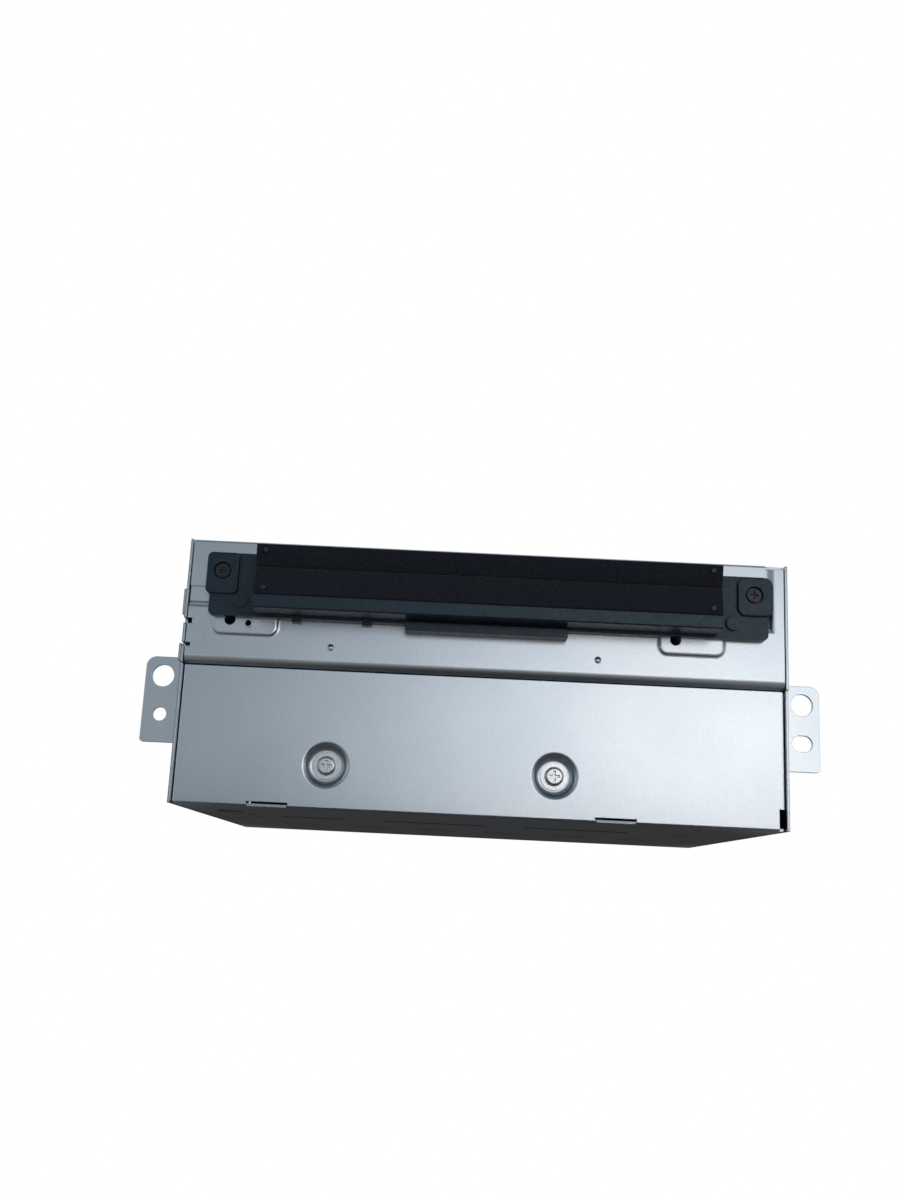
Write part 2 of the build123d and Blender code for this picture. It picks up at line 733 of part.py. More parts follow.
with BuildPart() as top_cover:
    block(-inner_half, inner_half, front_y, rear_y, case_height - sheet, case_height)
    block(-inner_half, flange_right_x, front_y, front_y + sheet, case_height - flange_height, case_height)
    for side in (-1, 1):
        edge, inside = side * inner_half, side * (inner_half - sheet)
        block(min(edge, inside), max(edge, inside), front_y + cover_side_front, rear_y - sheet - seam,
              case_height - cover_side_height, case_height)
        for y in cover_screw_y:
            rod_x(y, cover_screw_z, min(edge, inside), max(edge, inside),
                  shank_radius + screw_play, Mode.SUBTRACT)
    block(flange_right_x, inner_half, front_y, plate_y + sheet, case_height - sheet, case_height,
          Mode.SUBTRACT)
    nose = top_cover.edges().filter_by(Axis.X).group_by(Axis.Z)[-1].sort_by(Axis.Y)[0]
    fillet(nose, sheet * 0.9)
    # pressed beads that stiffen the roof
    for x in bead_x:
        with BuildSketch(Plane.XY.offset(case_height)):
            with Locations((x, front_y + bead_from_front)):
                SlotOverall(bead_length, bead_width, rotation=90)
        extrude(amount=-bead_depth, mode=Mode.SUBTRACT)
    block(-window_length / 2, window_length / 2, front_y, front_y + sheet,
          case_height - flange_height, mouth_z + window_height / 2, Mode.SUBTRACT)
    for x in bezel_screw_x:
        rod_y(x, bezel_screw_z, front_y, front_y + sheet, small_shank_radius + screw_play, Mode.SUBTRACT)
save(top_cover.part, "top_cover")


def mount_ear(side):
    """An angle bracket on one side: the upright ear faces forward and its foot lies on the side."""
    wall, tip = side * half_width, side * ear_reach
    ear_y = front_y + ear_setback
    with BuildPart() as ear:
        with BuildSketch(facing(ear_y + ear_sheet)):
            with Locations(((wall + tip) / 2, ear_bottom_z + ear_height / 2)):
                Rectangle(abs(tip - wall), ear_height)
        extrude(amount=ear_sheet)
        tip_end = -1 if side > 0 else 0
        fillet(ear.edges().filter_by(Axis.Y).group_by(Axis.Z)[-1].sort_by(Axis.X)[tip_end], ear_corner)
        fillet(ear.edges().filter_by(Axis.Y).group_by(Axis.Z)[0].sort_by(Axis.X)[tip_end], ear_lower_corner)
        foot_end = wall + side * ear_sheet
        block(min(wall, foot_end), max(wall, foot_end), ear_y, ear_y + ear_foot_length,
              ear_bottom_z + ear_foot_margin, ear_bottom_z + ear_height - ear_foot_margin)
        rod_y(side * ear_hole_x, ear_hole_z, ear_y, ear_y + ear_sheet, ear_hole_radius, Mode.SUBTRACT)
        if side < 0:
            rod_y(-ear_hole_x, ear_slot_z, ear_y, ear_y + ear_sheet, ear_slot_radius, Mode.SUBTRACT)
        else:
            with BuildSketch(facing(ear_y)):
                with Locations((ear_hole_x, ear_slot_z)):
                    SlotOverall(ear_slot_length, ear_slot_height)
            extrude(amount=-ear_sheet, mode=Mode.SUBTRACT)
        for z in ear_screw_z:
            rod_x(ear_screw_y, z, min(wall, foot_end), max(wall, foot_end),
                  shank_radius + screw_play, Mode.SUBTRACT)
    return ear.part


for side, side_name in ((-1, "left"), (1, "right")):
    save(mount_ear(side), f"mount_ear_{side_name}")


with BuildPart() as corner_brackets:
    # four shelves inside the sides carry the floating mechanism
    for side in (-1, 1):
        wall, leg = side * (half_width - sheet), side * (half_width - sheet - corner_bracket_sheet)
        reach = side * (half_width - sheet - corner_bracket_reach)
        for y in damper_y:
            y0 = front_y + y - corner_bracket_length / 2
            y1 = y0 + corner_bracket_length
            block(min(wall, reach), max(wall, reach), y0, y1,
                  corner_bracket_z, corner_bracket_z + corner_bracket_sheet)
            block(min(wall, leg), max(wall, leg), y0, y1,
                  corner_bracket_z - corner_bracket_leg, corner_bracket_z + corner_bracket_sheet)
save(corner_brackets.part, "corner_brackets")

# ---------------------------------------------------------------- bezel
with BuildPart() as bezel_base:
    with BuildSketch(facing(base_back_y)):
        with Locations(((base_left_x + base_right_x) / 2, base_bottom_z + base_height / 2)):
            RectangleRounded(base_right_x - base_left_x, base_height, base_corner)
    extrude(amount=base_thickness)
    for x0, x1, foot, head, corner in bezel_pads:
        with BuildSketch(facing(base_back_y)):
            with Locations(((x0 + x1) / 2, mouth_z + (foot + head) / 2)):
                RectangleRounded(x1 - x0, head - foot, corner)
        extrude(amount=base_thickness + bezel_pad_rise)
    fillet(bezel_base.edges().group_by(Axis.Y)[0], bezel_pad_edge)
    block(bezel_step[0], -holder_half_length, base_front_y - bezel_step_rise, base_front_y,
          mouth_z + bezel_step[1], mouth_z + bezel_step[2])
    for x in bezel_screw_x:
        rod_y(x, bezel_screw_z, base_back_y, front_y, small_head_radius + bezel_pad_rise)
        rod_y(x, bezel_screw_z, base_front_y - bezel_pad_rise, front_y,
              small_shank_radius + screw_play, Mode.SUBTRACT)
        rod_y(x, bezel_screw_z, base_front_y - bezel_pad_rise,
              bezel_seat_y, small_head_radius + head_clearance, Mode.SUBTRACT)
    for x in (-boss_x, boss_x):
        rod_y(x, mouth_z - boss_below_mouth, base_front_y - boss_rise - bezel_step_rise, base_front_y,
              boss_radius)
    block(-bar_half_length, bar_half_length, front_y - bar_depth, front_y, mouth_z - bar_below_mouth,
          mouth_z - bar_below_mouth + bar_height)
    for x in hook_x:
        block(x - hook_length / 2, x + hook_length / 2, base_front_y + bezel_pad_rise, front_y,
              base_bottom_z - hook_height, base_bottom_z + hook_height)
    block(-mouth_length / 2, mouth_length / 2, base_front_y - bezel_pad_rise, base_back_y,
          mouth_z - mouth_height / 2, mouth_z + mouth_height / 2, Mode.SUBTRACT)
save(bezel_base.part, "bezel_base")

felt_back_y = holder_front_y + felt_slope + felt_thickness
holder_top_z = holder_bottom_z + holder_height
lip_top_z = holder_bottom_z + lip_height
stud_x = holder_half_length - 4 * stud_radius
stud_z = (lip_top_z + 2 * felt_thickness, holder_top_z - 2 * felt_thickness)

with BuildPart() as felt_holder:
    block(-holder_half_length, holder_half_length, felt_back_y, base_front_y, holder_bottom_z, holder_top_z)
    block(-holder_half_length, holder_half_length, holder_front_y, felt_back_y, holder_bottom_z, lip_top_z)
    lip_edges = felt_holder.edges().filter_by(Axis.X).group_by(Axis.Y)[0]
    chamfer(lip_edges, lip_chamfer)
    for side in (-1, 1):
        for z in stud_z:
            rod_y(side * stud_x, z, holder_front_y - stud_proud, felt_back_y, stud_radius)
    block(-mouth_length / 2, mouth_length / 2, felt_back_y, base_front_y,
          mouth_z - mouth_height / 2, mouth_z + mouth_height / 2, Mode.SUBTRACT)
save(felt_holder.part, "felt_holder")


def felt_lip(edge_z, slit_z, stud_height):
    """A felt strip glued along edge_z whose face slopes in towards the slit."""
    with BuildPart() as felt:
        with BuildSketch(Plane.YZ.offset(-holder_half_length)):
            outline((holder_front_y, edge_z), (felt_back_y, edge_z), (felt_back_y, slit_z),
                    (holder_front_y + felt_slope, slit_z))
        extrude(amount=2 * holder_half_length)
        for side in (-1, 1):
            rod_y(side * stud_x, stud_height, holder_front_y, felt_back_y, stud_radius, Mode.SUBTRACT)
    return felt.part


save(felt_lip(holder_top_z, mouth_z + felt_slit / 2, stud_z[1]), "felt_upper")
save(felt_lip(lip_top_z, mouth_z - felt_slit / 2, stud_z[0]), "felt_lower")

# ---------------------------------------------------------------- fasteners
with BuildPart() as bezel_screws:
    for x in bezel_screw_x:
        rod_y(x, bezel_screw_z, bezel_seat_y - small_head_height, bezel_seat_y, small_head_radius)
        rod_y(x, bezel_screw_z, bezel_seat_y, plate_y + sheet + tip_length, small_shank_radius)
        cross_recess(x, bezel_seat_y - small_head_height, bezel_screw_z, small_head_radius,
                     small_cross_depth, "y")
save(bezel_screws.part, "bezel_screws")

with BuildPart() as panel_screws:
    for x in dimple_x:
        seat = tray_wall_y + dimple_depth
        rod_y(x, dimple_z, seat - pan_head_height, seat, pan_head_radius)
        rim = panel_screws.edges().filter_by(GeomType.CIRCLE).group_by(Axis.Y)[0].sort_by(Axis.X)[-1]
        fillet(rim, pan_head_height * 0.45)
        rod_y(x, dimple_z, seat - flange_thickness, seat, flange_radius)
        rod_y(x, dimple_z, seat, bracket_wall_y + bracket_sheet + tip_length, shank_radius)
        cross_recess(x, seat - pan_head_height, dimple_z, pan_head_radius, pan_cross_depth, "y")
save(panel_screws.part, "panel_screws")

with BuildPart() as case_screws:
    # four hold the cover and four hold the ears
    for side in (-1, 1):
        seats = [(half_width, cover_screw_z, y) for y in cover_screw_y]
        seats += [(half_width + ear_sheet, z, ear_screw_y) for z in ear_screw_z]
        for seat, z, y in seats:
            head, tip = side * (seat + pan_head_height), side * (inner_half - sheet - screw_play)
            rod_x(y, z, min(side * seat, head), max(side * seat, head), pan_head_radius)
            rod_x(y, z, min(side * seat, tip), max(side * seat, tip), shank_radius)
            cross_recess(head, y, z, pan_head_radius, side * pan_cross_depth, "x")
save(case_screws.part, "case_screws")

# ---------------------------------------------------------------- electronics
with BuildPart() as board_bracket:
    x0, x1 = dimple_x[0] - bracket_margin, dimple_x[1] + bracket_margin
    block(x0, x1, bracket_wall_y, bracket_wall_y + bracket_sheet,
          board_bottom_z - bracket_sheet, dimple_z + bracket_rise)
    block(x0, x1, bracket_wall_y, bracket_wall_y + bracket_foot,
          board_bottom_z - bracket_sheet, board_bottom_z)
    for x in dimple_x:
        rod_y(x, dimple_z, bracket_wall_y, bracket_wall_y + bracket_sheet,
              shank_radius + screw_play, Mode.SUBTRACT)
        post(x, board_screw_front_y, board_bottom_z - bracket_sheet, board_bottom_z,
             small_shank_radius + screw_play, Mode.SUBTRACT)
save(board_bracket.part, "board_bracket")

board_screw_places = [(x, board_screw_front_y) for x in dimple_x]
board_screw_places += [(side * standoff_x, front_y + standoff) for side in (-1, 1)]

with BuildPart() as main_board:
    block(-board_half_width, board_half_width, front_y + board_front, front_y + board_front + board_length,
          board_bottom_z, board_top_z)
    for x, y in board_screw_places:
        post(x, y, board_bottom_z, board_top_z, small_shank_radius + screw_play, Mode.SUBTRACT)
save(main_board.part, "main_board")

with BuildPart() as board_screws:
    for x, y in board_screw_places:
        post(x, y, board_top_z, board_top_z + small_head_height, small_head_radius)
        post(x, y, board_bottom_z - bracket_sheet, board_top_z, small_shank_radius)
        cross_recess(x, y, board_top_z + small_head_height, small_head_radius, small_cross_depth, "z")
save(board_screws.part, "board_screws")

with BuildPart() as board_components:
    # processor, memory, servo driver, decoder, audio converter and power stages
    for x, from_front, width, length, height in (
            (-22, 52, 20, 20, 1.6), (6, 48, 10, 14, 1.4), (28, 60, 14, 14, 1.6), (-50, 60, 12, 16, 1.5),
            (8, 84, 12, 9, 1.4), (44, 96, 9, 12, 1.5), (-34, 104, 10, 8, 1.3), (20, 112, 16, 6, 4.5)):
        block(x - width / 2, x + width / 2, front_y + from_front - length / 2,
              front_y + from_front + length / 2, board_top_z, board_top_z + height)
    # capacitors
    for x, from_front, radius, height in (
            (58, 118, 4.0, 8.0), (47, 118, 4.0, 8.0), (-58, 116, 3.2, 7.0), (-66, 104, 2.5, 5.5),
            (58, 40, 2.5, 5.5), (40, 36, 2.5, 5.5), (-52, 38, 3.2, 7.0)):
        post(x, front_y + from_front, board_top_z, board_top_z + height, radius)
save(board_components.part, "board_components")

socket_mouth_y = rear_y + connector_proud
socket_floor_y = socket_mouth_y - socket_depth

with BuildPart() as rear_connector:
    block(connector_x - connector_width / 2, connector_x + connector_width / 2,
          socket_mouth_y - connector_length, socket_mouth_y, board_top_z, board_top_z + connector_height)
    block(connector_x - connector_width / 2 + connector_wall, connector_x + connector_width / 2 - connector_wall,
          socket_floor_y, socket_mouth_y, board_top_z + connector_wall,
          board_top_z + connector_height - connector_wall, Mode.SUBTRACT)
save(rear_connector.part, "rear_connector")

with BuildPart() as connector_pins:
    for column in range(pin_count):
        x = connector_x + (column - (pin_count - 1) / 2) * pin_pitch
        for row in (-1, 1):
            z = board_top_z + connector_height / 2 + row * pin_pitch * 0.7
            block(x - pin_size / 2, x + pin_size / 2, socket_floor_y, socket_floor_y + pin_length,
                  z - pin_size / 2, z + pin_size / 2)
save(connector_pins.part, "connector_pins")

# ---------------------------------------------------------------- floating mechanism
with BuildPart() as damper_cups:
    for side in (-1, 1):
        for y in damper_y:
            base_z = corner_bracket_z + corner_bracket_sheet
            post(side * damper_x, front_y + y, base_z, base_z + damper_height, damper_radius)
            post(side * damper_x, front_y + y, base_z + damper_floor, base_z + damper_height,
                 damper_bore, Mode.SUBTRACT)
save(damper_cups.part, "damper_cups")

with BuildPart() as float_springs:
    spring_bottom = corner_bracket_z + corner_bracket_sheet + spring_wire + spring_gap
    spring_length = chassis_floor_z - spring_wire - spring_gap - spring_bottom
    for side in (-1, 1):
        for y in damper_y:
            foot = (side * damper_x, front_y + y, spring_bottom)
            coil = Helix(spring_length / spring_turns, spring_length, spring_radius, center=foot)
            with BuildSketch(Plane(origin=coil @ 0, z_dir=coil % 0)) as wire:
                Circle(spring_wire)
            sweep(wire.sketch, path=coil, is_frenet=True)
save(float_springs.part, "float_springs")

floor_top_z = chassis_floor_z + chassis_sheet
chassis_wall = chassis_half_width - chassis_sheet
screw_places = [around_disc(screw_orbit, angle) for angle in screw_angles]
idler_places = [around_disc(idler_orbit, angle) for angle in screw_angles]
ring_bore = ring_radius - dedendum * lift_module - ring_width

with BuildPart() as mech_chassis:
    block(-chassis_half_width, chassis_half_width, front_y + chassis_front, front_y + chassis_rear,
          chassis_floor_z, floor_top_z)
    for side in (-1, 1):
        block(min(side * chassis_half_width, side * chassis_wall),
              max(side * chassis_half_width, side * chassis_wall),
              front_y + chassis_front + wall_setback, front_y + chassis_rear, chassis_floor_z, chassis_roof_z)
        for y in damper_y:
            post(side * damper_x, front_y + y, chassis_floor_z - damper_pin_length, chassis_floor_z,
                 damper_pin_radius)
    post(0, disc_y, chassis_floor_z, floor_top_z, floor_opening_radius, Mode.SUBTRACT)
    for x, y in screw_places:
        post(x, y, chassis_floor_z, floor_top_z, pin_radius + running_fit, Mode.SUBTRACT)
    for x, y in ((lift_pinion_x, disc_y), (swing_pinion_x, swing_pinion_y)):
        post(x, y, chassis_floor_z, floor_top_z, motor_shaft_radius + slide_gap, Mode.SUBTRACT)
    post(pivot_x, pivot_y, chassis_floor_z, floor_top_z, pivot_shaft_radius, Mode.SUBTRACT)
    for x, y in idler_places:
        post(x, y, floor_top_z, lift_gear_z + lift_gear_height, stud_post_radius)
    for angle in guide_post_angles:
        x, y = around_disc(ring_bore - guide_post_radius - slide_gap, angle)
        post(x, y, floor_top_z, lift_gear_z + lift_gear_height, guide_post_radius)
    # upright tab that carries the loading motor
    tab_x = loading_motor_end_x
    block(tab_x, tab_x + bracket_thickness, loading_pinion_y - loading_motor_radius,
          loading_pinion_y + motor_tab_clear, floor_top_z, loading_pinion_z + motor_tab_rise)
    rod_x(loading_pinion_y, loading_pinion_z, tab_x, tab_x + bracket_thickness,
          motor_shaft_radius + slide_gap, Mode.SUBTRACT)
save(mech_chassis.part, "mech_chassis")

with BuildPart() as mech_roof:
    block(-chassis_half_width, chassis_half_width, front_y + chassis_front, front_y + chassis_rear,
          chassis_roof_z, chassis_roof_z + sheet)
    post(0, disc_y, chassis_roof_z, chassis_roof_z + sheet, roof_opening_radius, Mode.SUBTRACT)
    for x, y in screw_places:
        post(x, y, chassis_roof_z, chassis_roof_z + sheet, pin_radius + running_fit, Mode.SUBTRACT)
    post(pivot_x, pivot_y, chassis_roof_z, chassis_roof_z + sheet, pivot_shaft_radius, Mode.SUBTRACT)
    for side in (-1, 1):
        # hanging tab that carries the roller, the disc guide and the idler gear
        inner, outer = side * bracket_x, side * (bracket_x + bracket_thickness)
        low, high = min(inner, outer), max(inner, outer)
        block(low, high, front_y + chassis_front, roller_y + roller_radius + bracket_thickness,
              loading_idler_z - bracket_drop, chassis_roof_z)
        rod_x(roller_y, roller_z, low, high, roller_shaft_radius + running_fit, Mode.SUBTRACT)
        rod_x(guide_pin_y, guide_pin_z, low, high, guide_pin_radius + running_fit, Mode.SUBTRACT)
    rod_x(loading_idler_y, loading_idler_z, loading_gear_x - slide_gap, bracket_x, idler_stud_radius)
save(mech_roof.part, "mech_roof")

with BuildPart() as pivot_shaft:
    post(pivot_x, pivot_y, chassis_floor_z, chassis_roof_z + sheet, pivot_shaft_radius)
save(pivot_shaft.part, "pivot_shaft")

with BuildPart() as gear_motors:
    for x, y in ((lift_pinion_x, disc_y), (swing_pinion_x, swing_pinion_y)):
        post(x, y, chassis_floor_z - motor_length, chassis_floor_z, motor_radius)
        post(x, y, chassis_floor_z - motor_bore_depth, chassis_floor_z,
             motor_shaft_radius + running_fit, Mode.SUBTRACT)
save(gear_motors.part, "gear_motors")

with BuildPart() as loading_motor:
    rod_x(loading_pinion_y, loading_pinion_z, loading_motor_end_x - loading_motor_length,
          loading_motor_end_x, loading_motor_radius)
    rod_x(loading_pinion_y, loading_pinion_z, loading_motor_end_x - motor_bore_depth,
          loading_motor_end_x, motor_shaft_radius + running_fit, Mode.SUBTRACT)
save(loading_motor.part, "loading_motor")

# ---------------------------------------------------------------- loading drive
with BuildPart() as loading_roller:
    rod_x(roller_y, roller_z, -roller_half_length, roller_half_length, roller_radius)
    rod_x(roller_y, roller_z, -roller_half_length, roller_half_length, roller_shaft_radius, Mode.SUBTRACT)
save(loading_roller.part, "loading_roller")

with BuildPart() as roller_shaft:
    rod_x(roller_y, roller_z, -bracket_x - bracket_thickness, bracket_x + bracket_thickness,
          roller_shaft_radius)
save(roller_shaft.part, "roller_shaft")

# each gear of the train has a tooth where its mate has a gap
towards_idler = -90 + loading_idler_angle
towards_pinion = -90 + loading_pinion_angle
idler_phase = towards_idler + 180 + 180 / loading_idler_teeth
idler_step = 360 / loading_idler_teeth
idler_offset = (towards_pinion - idler_phase) / idler_step
pinion_shift = (idler_offset - round(idler_offset)) * idler_step * loading_idler_teeth / loading_pinion_teeth

with BuildPart() as roller_gear:
    side_gear(loading_gear_x, roller_y, roller_z, loading_gear_width, roller_teeth, loading_module,
              towards_idler, roller_shaft_radius)
save(roller_gear.part, "roller_gear")

with BuildPart() as loading_idler_gear:
    side_gear(loading_gear_x, loading_idler_y, loading_idler_z, loading_gear_width, loading_idler_teeth,
              loading_module, idler_phase, idler_stud_radius + running_fit)
save(loading_idler_gear.part, "loading_idler_gear")

with BuildPart() as loading_pinion:
    side_gear(loading_gear_x, loading_pinion_y, loading_pinion_z, loading_gear_width, loading_pinion_teeth,
              loading_module, towards_pinion + 180 + 180 / loading_pinion_teeth + pinion_shift)
    rod_x(loading_pinion_y, loading_pinion_z, loading_motor_end_x - motor_bore_depth + slide_gap,
          loading_gear_x + loading_gear_width, motor_shaft_radius)
save(loading_pinion.part, "loading_pinion")

with BuildPart() as upper_disc_guide:
    block(-guide_half_length, guide_half_length, roller_y - guide_length / 2, roller_y + guide_length / 2,
          guide_z, guide_z + guide_thickness)
    entry = upper_disc_guide.edges().filter_by(Axis.X).group_by(Axis.Z)[0]
    chamfer(entry, guide_thickness * 0.4)
    for side in (-1, 1):
        lug = side * (guide_half_length - guide_lug_width)
        tip = side * (bracket_x + bracket_thickness)
        outer = side * guide_half_length
        block(min(lug, outer), max(lug, outer), guide_pin_y - guide_lug_length / 2,
              guide_pin_y + guide_lug_length / 2, guide_z + guide_thickness / 2,
              guide_pin_z + guide_lug_length / 2)
        rod_x(guide_pin_y, guide_pin_z, min(lug, tip), max(lug, tip), guide_pin_radius)
save(upper_disc_guide.part, "upper_disc_guide")

# ---------------------------------------------------------------- trays and their lift
mouth_angle = degrees(atan2(pivot_y - disc_y, pivot_x))
waiting_z = [chassis_floor_z + waiting_rise - count * tray_pitch for count in range(4)]
tray_levels = [chassis_roof_z - stowed_tray_drop, mouth_z - load_tray_drop] + waiting_z


def disc_tray(z):
    """An open ring with three arms that ride on the lift screws."""
    with BuildPart() as tray:
        with BuildSketch(Plane.XY.offset(z)):
            with Locations((0, disc_y)):
                Circle(tray_radius)
            for angle in screw_angles:
                with Locations(Location((0, disc_y, 0), (0, 0, angle))):
                    Rectangle(screw_orbit, tray_arm_width, align=(Align.MIN, Align.CENTER))
            with Locations(*screw_places):
                Circle(tray_eye_radius)
                Circle(lift_screw_radius + slide_gap, mode=Mode.SUBTRACT)
            with Locations((0, disc_y)):
                Circle(tray_inner_radius, mode=Mode.SUBTRACT)
            with Locations(Location((0, disc_y, 0), (0, 0, mouth_angle))):
                Rectangle(2 * tray_radius, tray_mouth, align=(Align.MIN, Align.CENTER), mode=Mode.SUBTRACT)
        extrude(amount=tray_thickness)
    return tray.part


for count, level in enumerate(tray_levels, start=1):
    save(disc_tray(level), f"disc_tray_{count}")

with BuildPart() as lift_ring_gear:
    upright_gear(0, disc_y, lift_gear_z, lift_gear_height, ring_teeth, lift_module, 0, ring_bore)
save(lift_ring_gear.part, "lift_ring_gear")

screw_names = ("front_left", "front_right", "rear_right")
for name, angle, (x, y) in zip(screw_names, screw_angles, idler_places):
    with BuildPart() as lift_idler:
        upright_gear(x, y, lift_gear_z, lift_gear_height, idler_teeth, lift_module,
                     angle + 180 + 180 / idler_teeth, stud_post_radius + running_fit)
    save(lift_idler.part, f"lift_idler_{name}")

for name, angle, (x, y) in zip(screw_names, screw_angles, screw_places):
    with BuildPart() as lift_screw:
        upright_gear(x, y, lift_gear_z, lift_gear_height, screw_teeth, lift_module, angle + 180)
        post(x, y, lift_gear_z, chassis_roof_z - slide_gap, lift_screw_radius)
        post(x, y, chassis_floor_z, chassis_roof_z + sheet, pin_radius)
    save(lift_screw.part, f"lift_screw_{name}")

with BuildPart() as lift_pinion:
    upright_gear(lift_pinion_x, disc_y, lift_gear_z, lift_gear_height, lift_pinion_teeth, lift_module,
                 180 + 180 / lift_pinion_teeth)
    post(lift_pinion_x, disc_y, chassis_floor_z - motor_bore_depth + slide_gap, lift_gear_z, motor_shaft_radius)
save(lift_pinion.part, "lift_pinion")

# ---------------------------------------------------------------- swing fork and traverse
with BuildPart() as swing_fork:
    upright_gear(pivot_x, pivot_y, lift_gear_z, lift_gear_height, swing_teeth, swing_module,
                 swing_pinion_angle)
    post(pivot_x, pivot_y, lift_gear_z, clamp_arm_z + clamp_arm_thickness, fork_column_radius)
    block(pivot_x - clamp_arm_width / 2, pivot_x + clamp_arm_width / 2, turntable_y, pivot_y,
          clamp_arm_z, clamp_arm_z + clamp_arm_thickness)
    post(pivot_x, turntable_y, clamp_arm_z, clamp_arm_z + clamp_arm_thickness, clamp_eye_radius)
    post(pivot_x, turntable_y, clamp_arm_z, clamp_arm_z + clamp_arm_thickness,
         puck_stem_radius + slide_gap, Mode.SUBTRACT)
    post(pivot_x, pivot_y, lift_gear_z, clamp_arm_z + clamp_arm_thickness,
         pivot_shaft_radius + running_fit, Mode.SUBTRACT)
save(swing_fork.part, "swing_fork")

with BuildPart() as swing_pinion:
    upright_gear(swing_pinion_x, swing_pinion_y, lift_gear_z, lift_gear_height, swing_pinion_teeth,
                 swing_module, swing_pinion_angle + 180 + 180 / swing_pinion_teeth)
    post(swing_pinion_x, swing_pinion_y, chassis_floor_z - motor_bore_depth + slide_gap, lift_gear_z,
         motor_shaft_radius)
save(swing_pinion.part, "swing_pinion")

rod_x_place = pivot_x - rail_offset
screw_x_place = pivot_x + rail_offset
near_block_y = turntable_y + platform_radius + slide_gap + block_margin
far_block_y = lens_y + sled_travel + sled_length / 2 + slide_gap

with BuildPart() as traverse_deck:
    block(pivot_x - deck_width / 2, pivot_x + deck_width / 2, turntable_y, pivot_y - fork_column_radius,
          deck_z, deck_top_z)
    post(pivot_x, turntable_y, deck_z, deck_top_z, deck_width / 2)
    collar_z = deck_z - collar_drop
    post(pivot_x, pivot_y, collar_z, collar_z + collar_height, collar_radius)
    for y in (near_block_y, far_block_y):
        for side in (-1, 1):
            x = pivot_x + side * rail_offset
            block(x - block_half_width, x + block_half_width, y, y + block_length, deck_z,
                  rail_z + block_rise)
    block(pivot_x - sled_width / 2 - slide_gap, pivot_x + sled_width / 2 + slide_gap,
          near_block_y + block_length, far_block_y, deck_z, deck_top_z, Mode.SUBTRACT)
    block(screw_x_place - sled_motor_radius - slide_gap, pivot_x + deck_width / 2, far_block_y + block_length,
          far_block_y + block_length + sled_motor_length + slide_gap, deck_z, deck_top_z, Mode.SUBTRACT)
    post(pivot_x, turntable_y, deck_z, deck_top_z, spindle_hole_radius, Mode.SUBTRACT)
    post(pivot_x, pivot_y, collar_z, collar_z + collar_height, fork_column_radius + slide_gap, Mode.SUBTRACT)
    rod_y(rod_x_place, rail_z, near_block_y, far_block_y + block_length, rail_radius, Mode.SUBTRACT)
    rod_y(screw_x_place, rail_z, near_block_y, far_block_y + block_length,
          sled_screw_radius + running_fit, Mode.SUBTRACT)
save(traverse_deck.part, "traverse_deck")

with BuildPart() as guide_rail:
    rod_y(rod_x_place, rail_z, near_block_y, far_block_y + block_length, rail_radius)
save(guide_rail.part, "guide_rail")

with BuildPart() as sled_screw:
    rod_y(screw_x_place, rail_z, near_block_y, far_block_y + 2 * block_length, sled_screw_radius)
save(sled_screw.part, "sled_screw")

with BuildPart() as sled_motor:
    motor_y = far_block_y + block_length
    rod_y(screw_x_place, rail_z, motor_y, motor_y + sled_motor_length, sled_motor_radius)
    rod_y(screw_x_place, rail_z, motor_y, motor_y + motor_bore_depth, sled_screw_radius + running_fit,
          Mode.SUBTRACT)
save(sled_motor.part, "sled_motor")

with BuildPart() as spindle_motor:
    post(pivot_x, turntable_y, deck_z - spindle_motor_height, deck_z, spindle_motor_radius)
    post(pivot_x, turntable_y, deck_z - motor_bore_depth, deck_z, spindle_radius + running_fit, Mode.SUBTRACT)
save(spindle_motor.part, "spindle_motor")

with BuildPart() as turntable:
    platform_top = platform_z + platform_thickness
    post(pivot_x, turntable_y, platform_z, platform_top, platform_radius)
    with Locations((pivot_x, turntable_y, platform_top)):
        Cone(hub_radius, hub_radius - hub_taper, hub_height, align=(Align.CENTER, Align.CENTER, Align.MIN))
    post(pivot_x, turntable_y, deck_z - motor_bore_depth + slide_gap, platform_z, spindle_radius)
save(turntable.part, "turntable")

with BuildPart() as clamp_puck:
    cap_z = clamp_arm_z + clamp_arm_thickness + puck_cap_gap
    post(pivot_x, turntable_y, puck_z, puck_z + puck_thickness, puck_radius)
    post(pivot_x, turntable_y, puck_z, cap_z + puck_cap_height, puck_stem_radius)
    post(pivot_x, turntable_y, cap_z, cap_z + puck_cap_height, puck_cap_radius)
save(clamp_puck.part, "clamp_puck")

with BuildPart() as pickup_body:
    block(pivot_x - sled_width / 2, pivot_x + sled_width / 2, lens_y - sled_length / 2,
          lens_y + sled_length / 2, rail_z - sled_drop, rail_z + block_rise)
    top_edges = pickup_body.edges().group_by(Axis.Z)[-1]
    chamfer(top_edges, sled_chamfer)
    lug_y = (lens_y - lug_half_length, lens_y + lug_half_length)
    block(rod_x_place - sled_lug, screw_x_place + sled_lug, lug_y[0], lug_y[1],
          rail_z - lug_half_height, rail_z + lug_half_height)
    post(pivot_x, lens_y, lens_bottom_z - lens_play, rail_z + block_rise, lens_radius + lens_gap,
         Mode.SUBTRACT)
    rod_y(rod_x_place, rail_z, lug_y[0], lug_y[1], rail_radius + running_fit, Mode.SUBTRACT)
    rod_y(screw_x_place, rail_z, lug_y[0], lug_y[1], sled_screw_radius + running_fit, Mode.SUBTRACT)
save(pickup_body.part, "pickup_body")

with BuildPart() as objective_lens:
    post(pivot_x, lens_y, lens_bottom_z, lens_bottom_z + lens_height, lens_radius)
    rim = objective_lens.edges().filter_by(GeomType.CIRCLE).group_by(Axis.Z)[-1]
    fillet(rim, lens_rounding)
save(objective_lens.part, "objective_lens")
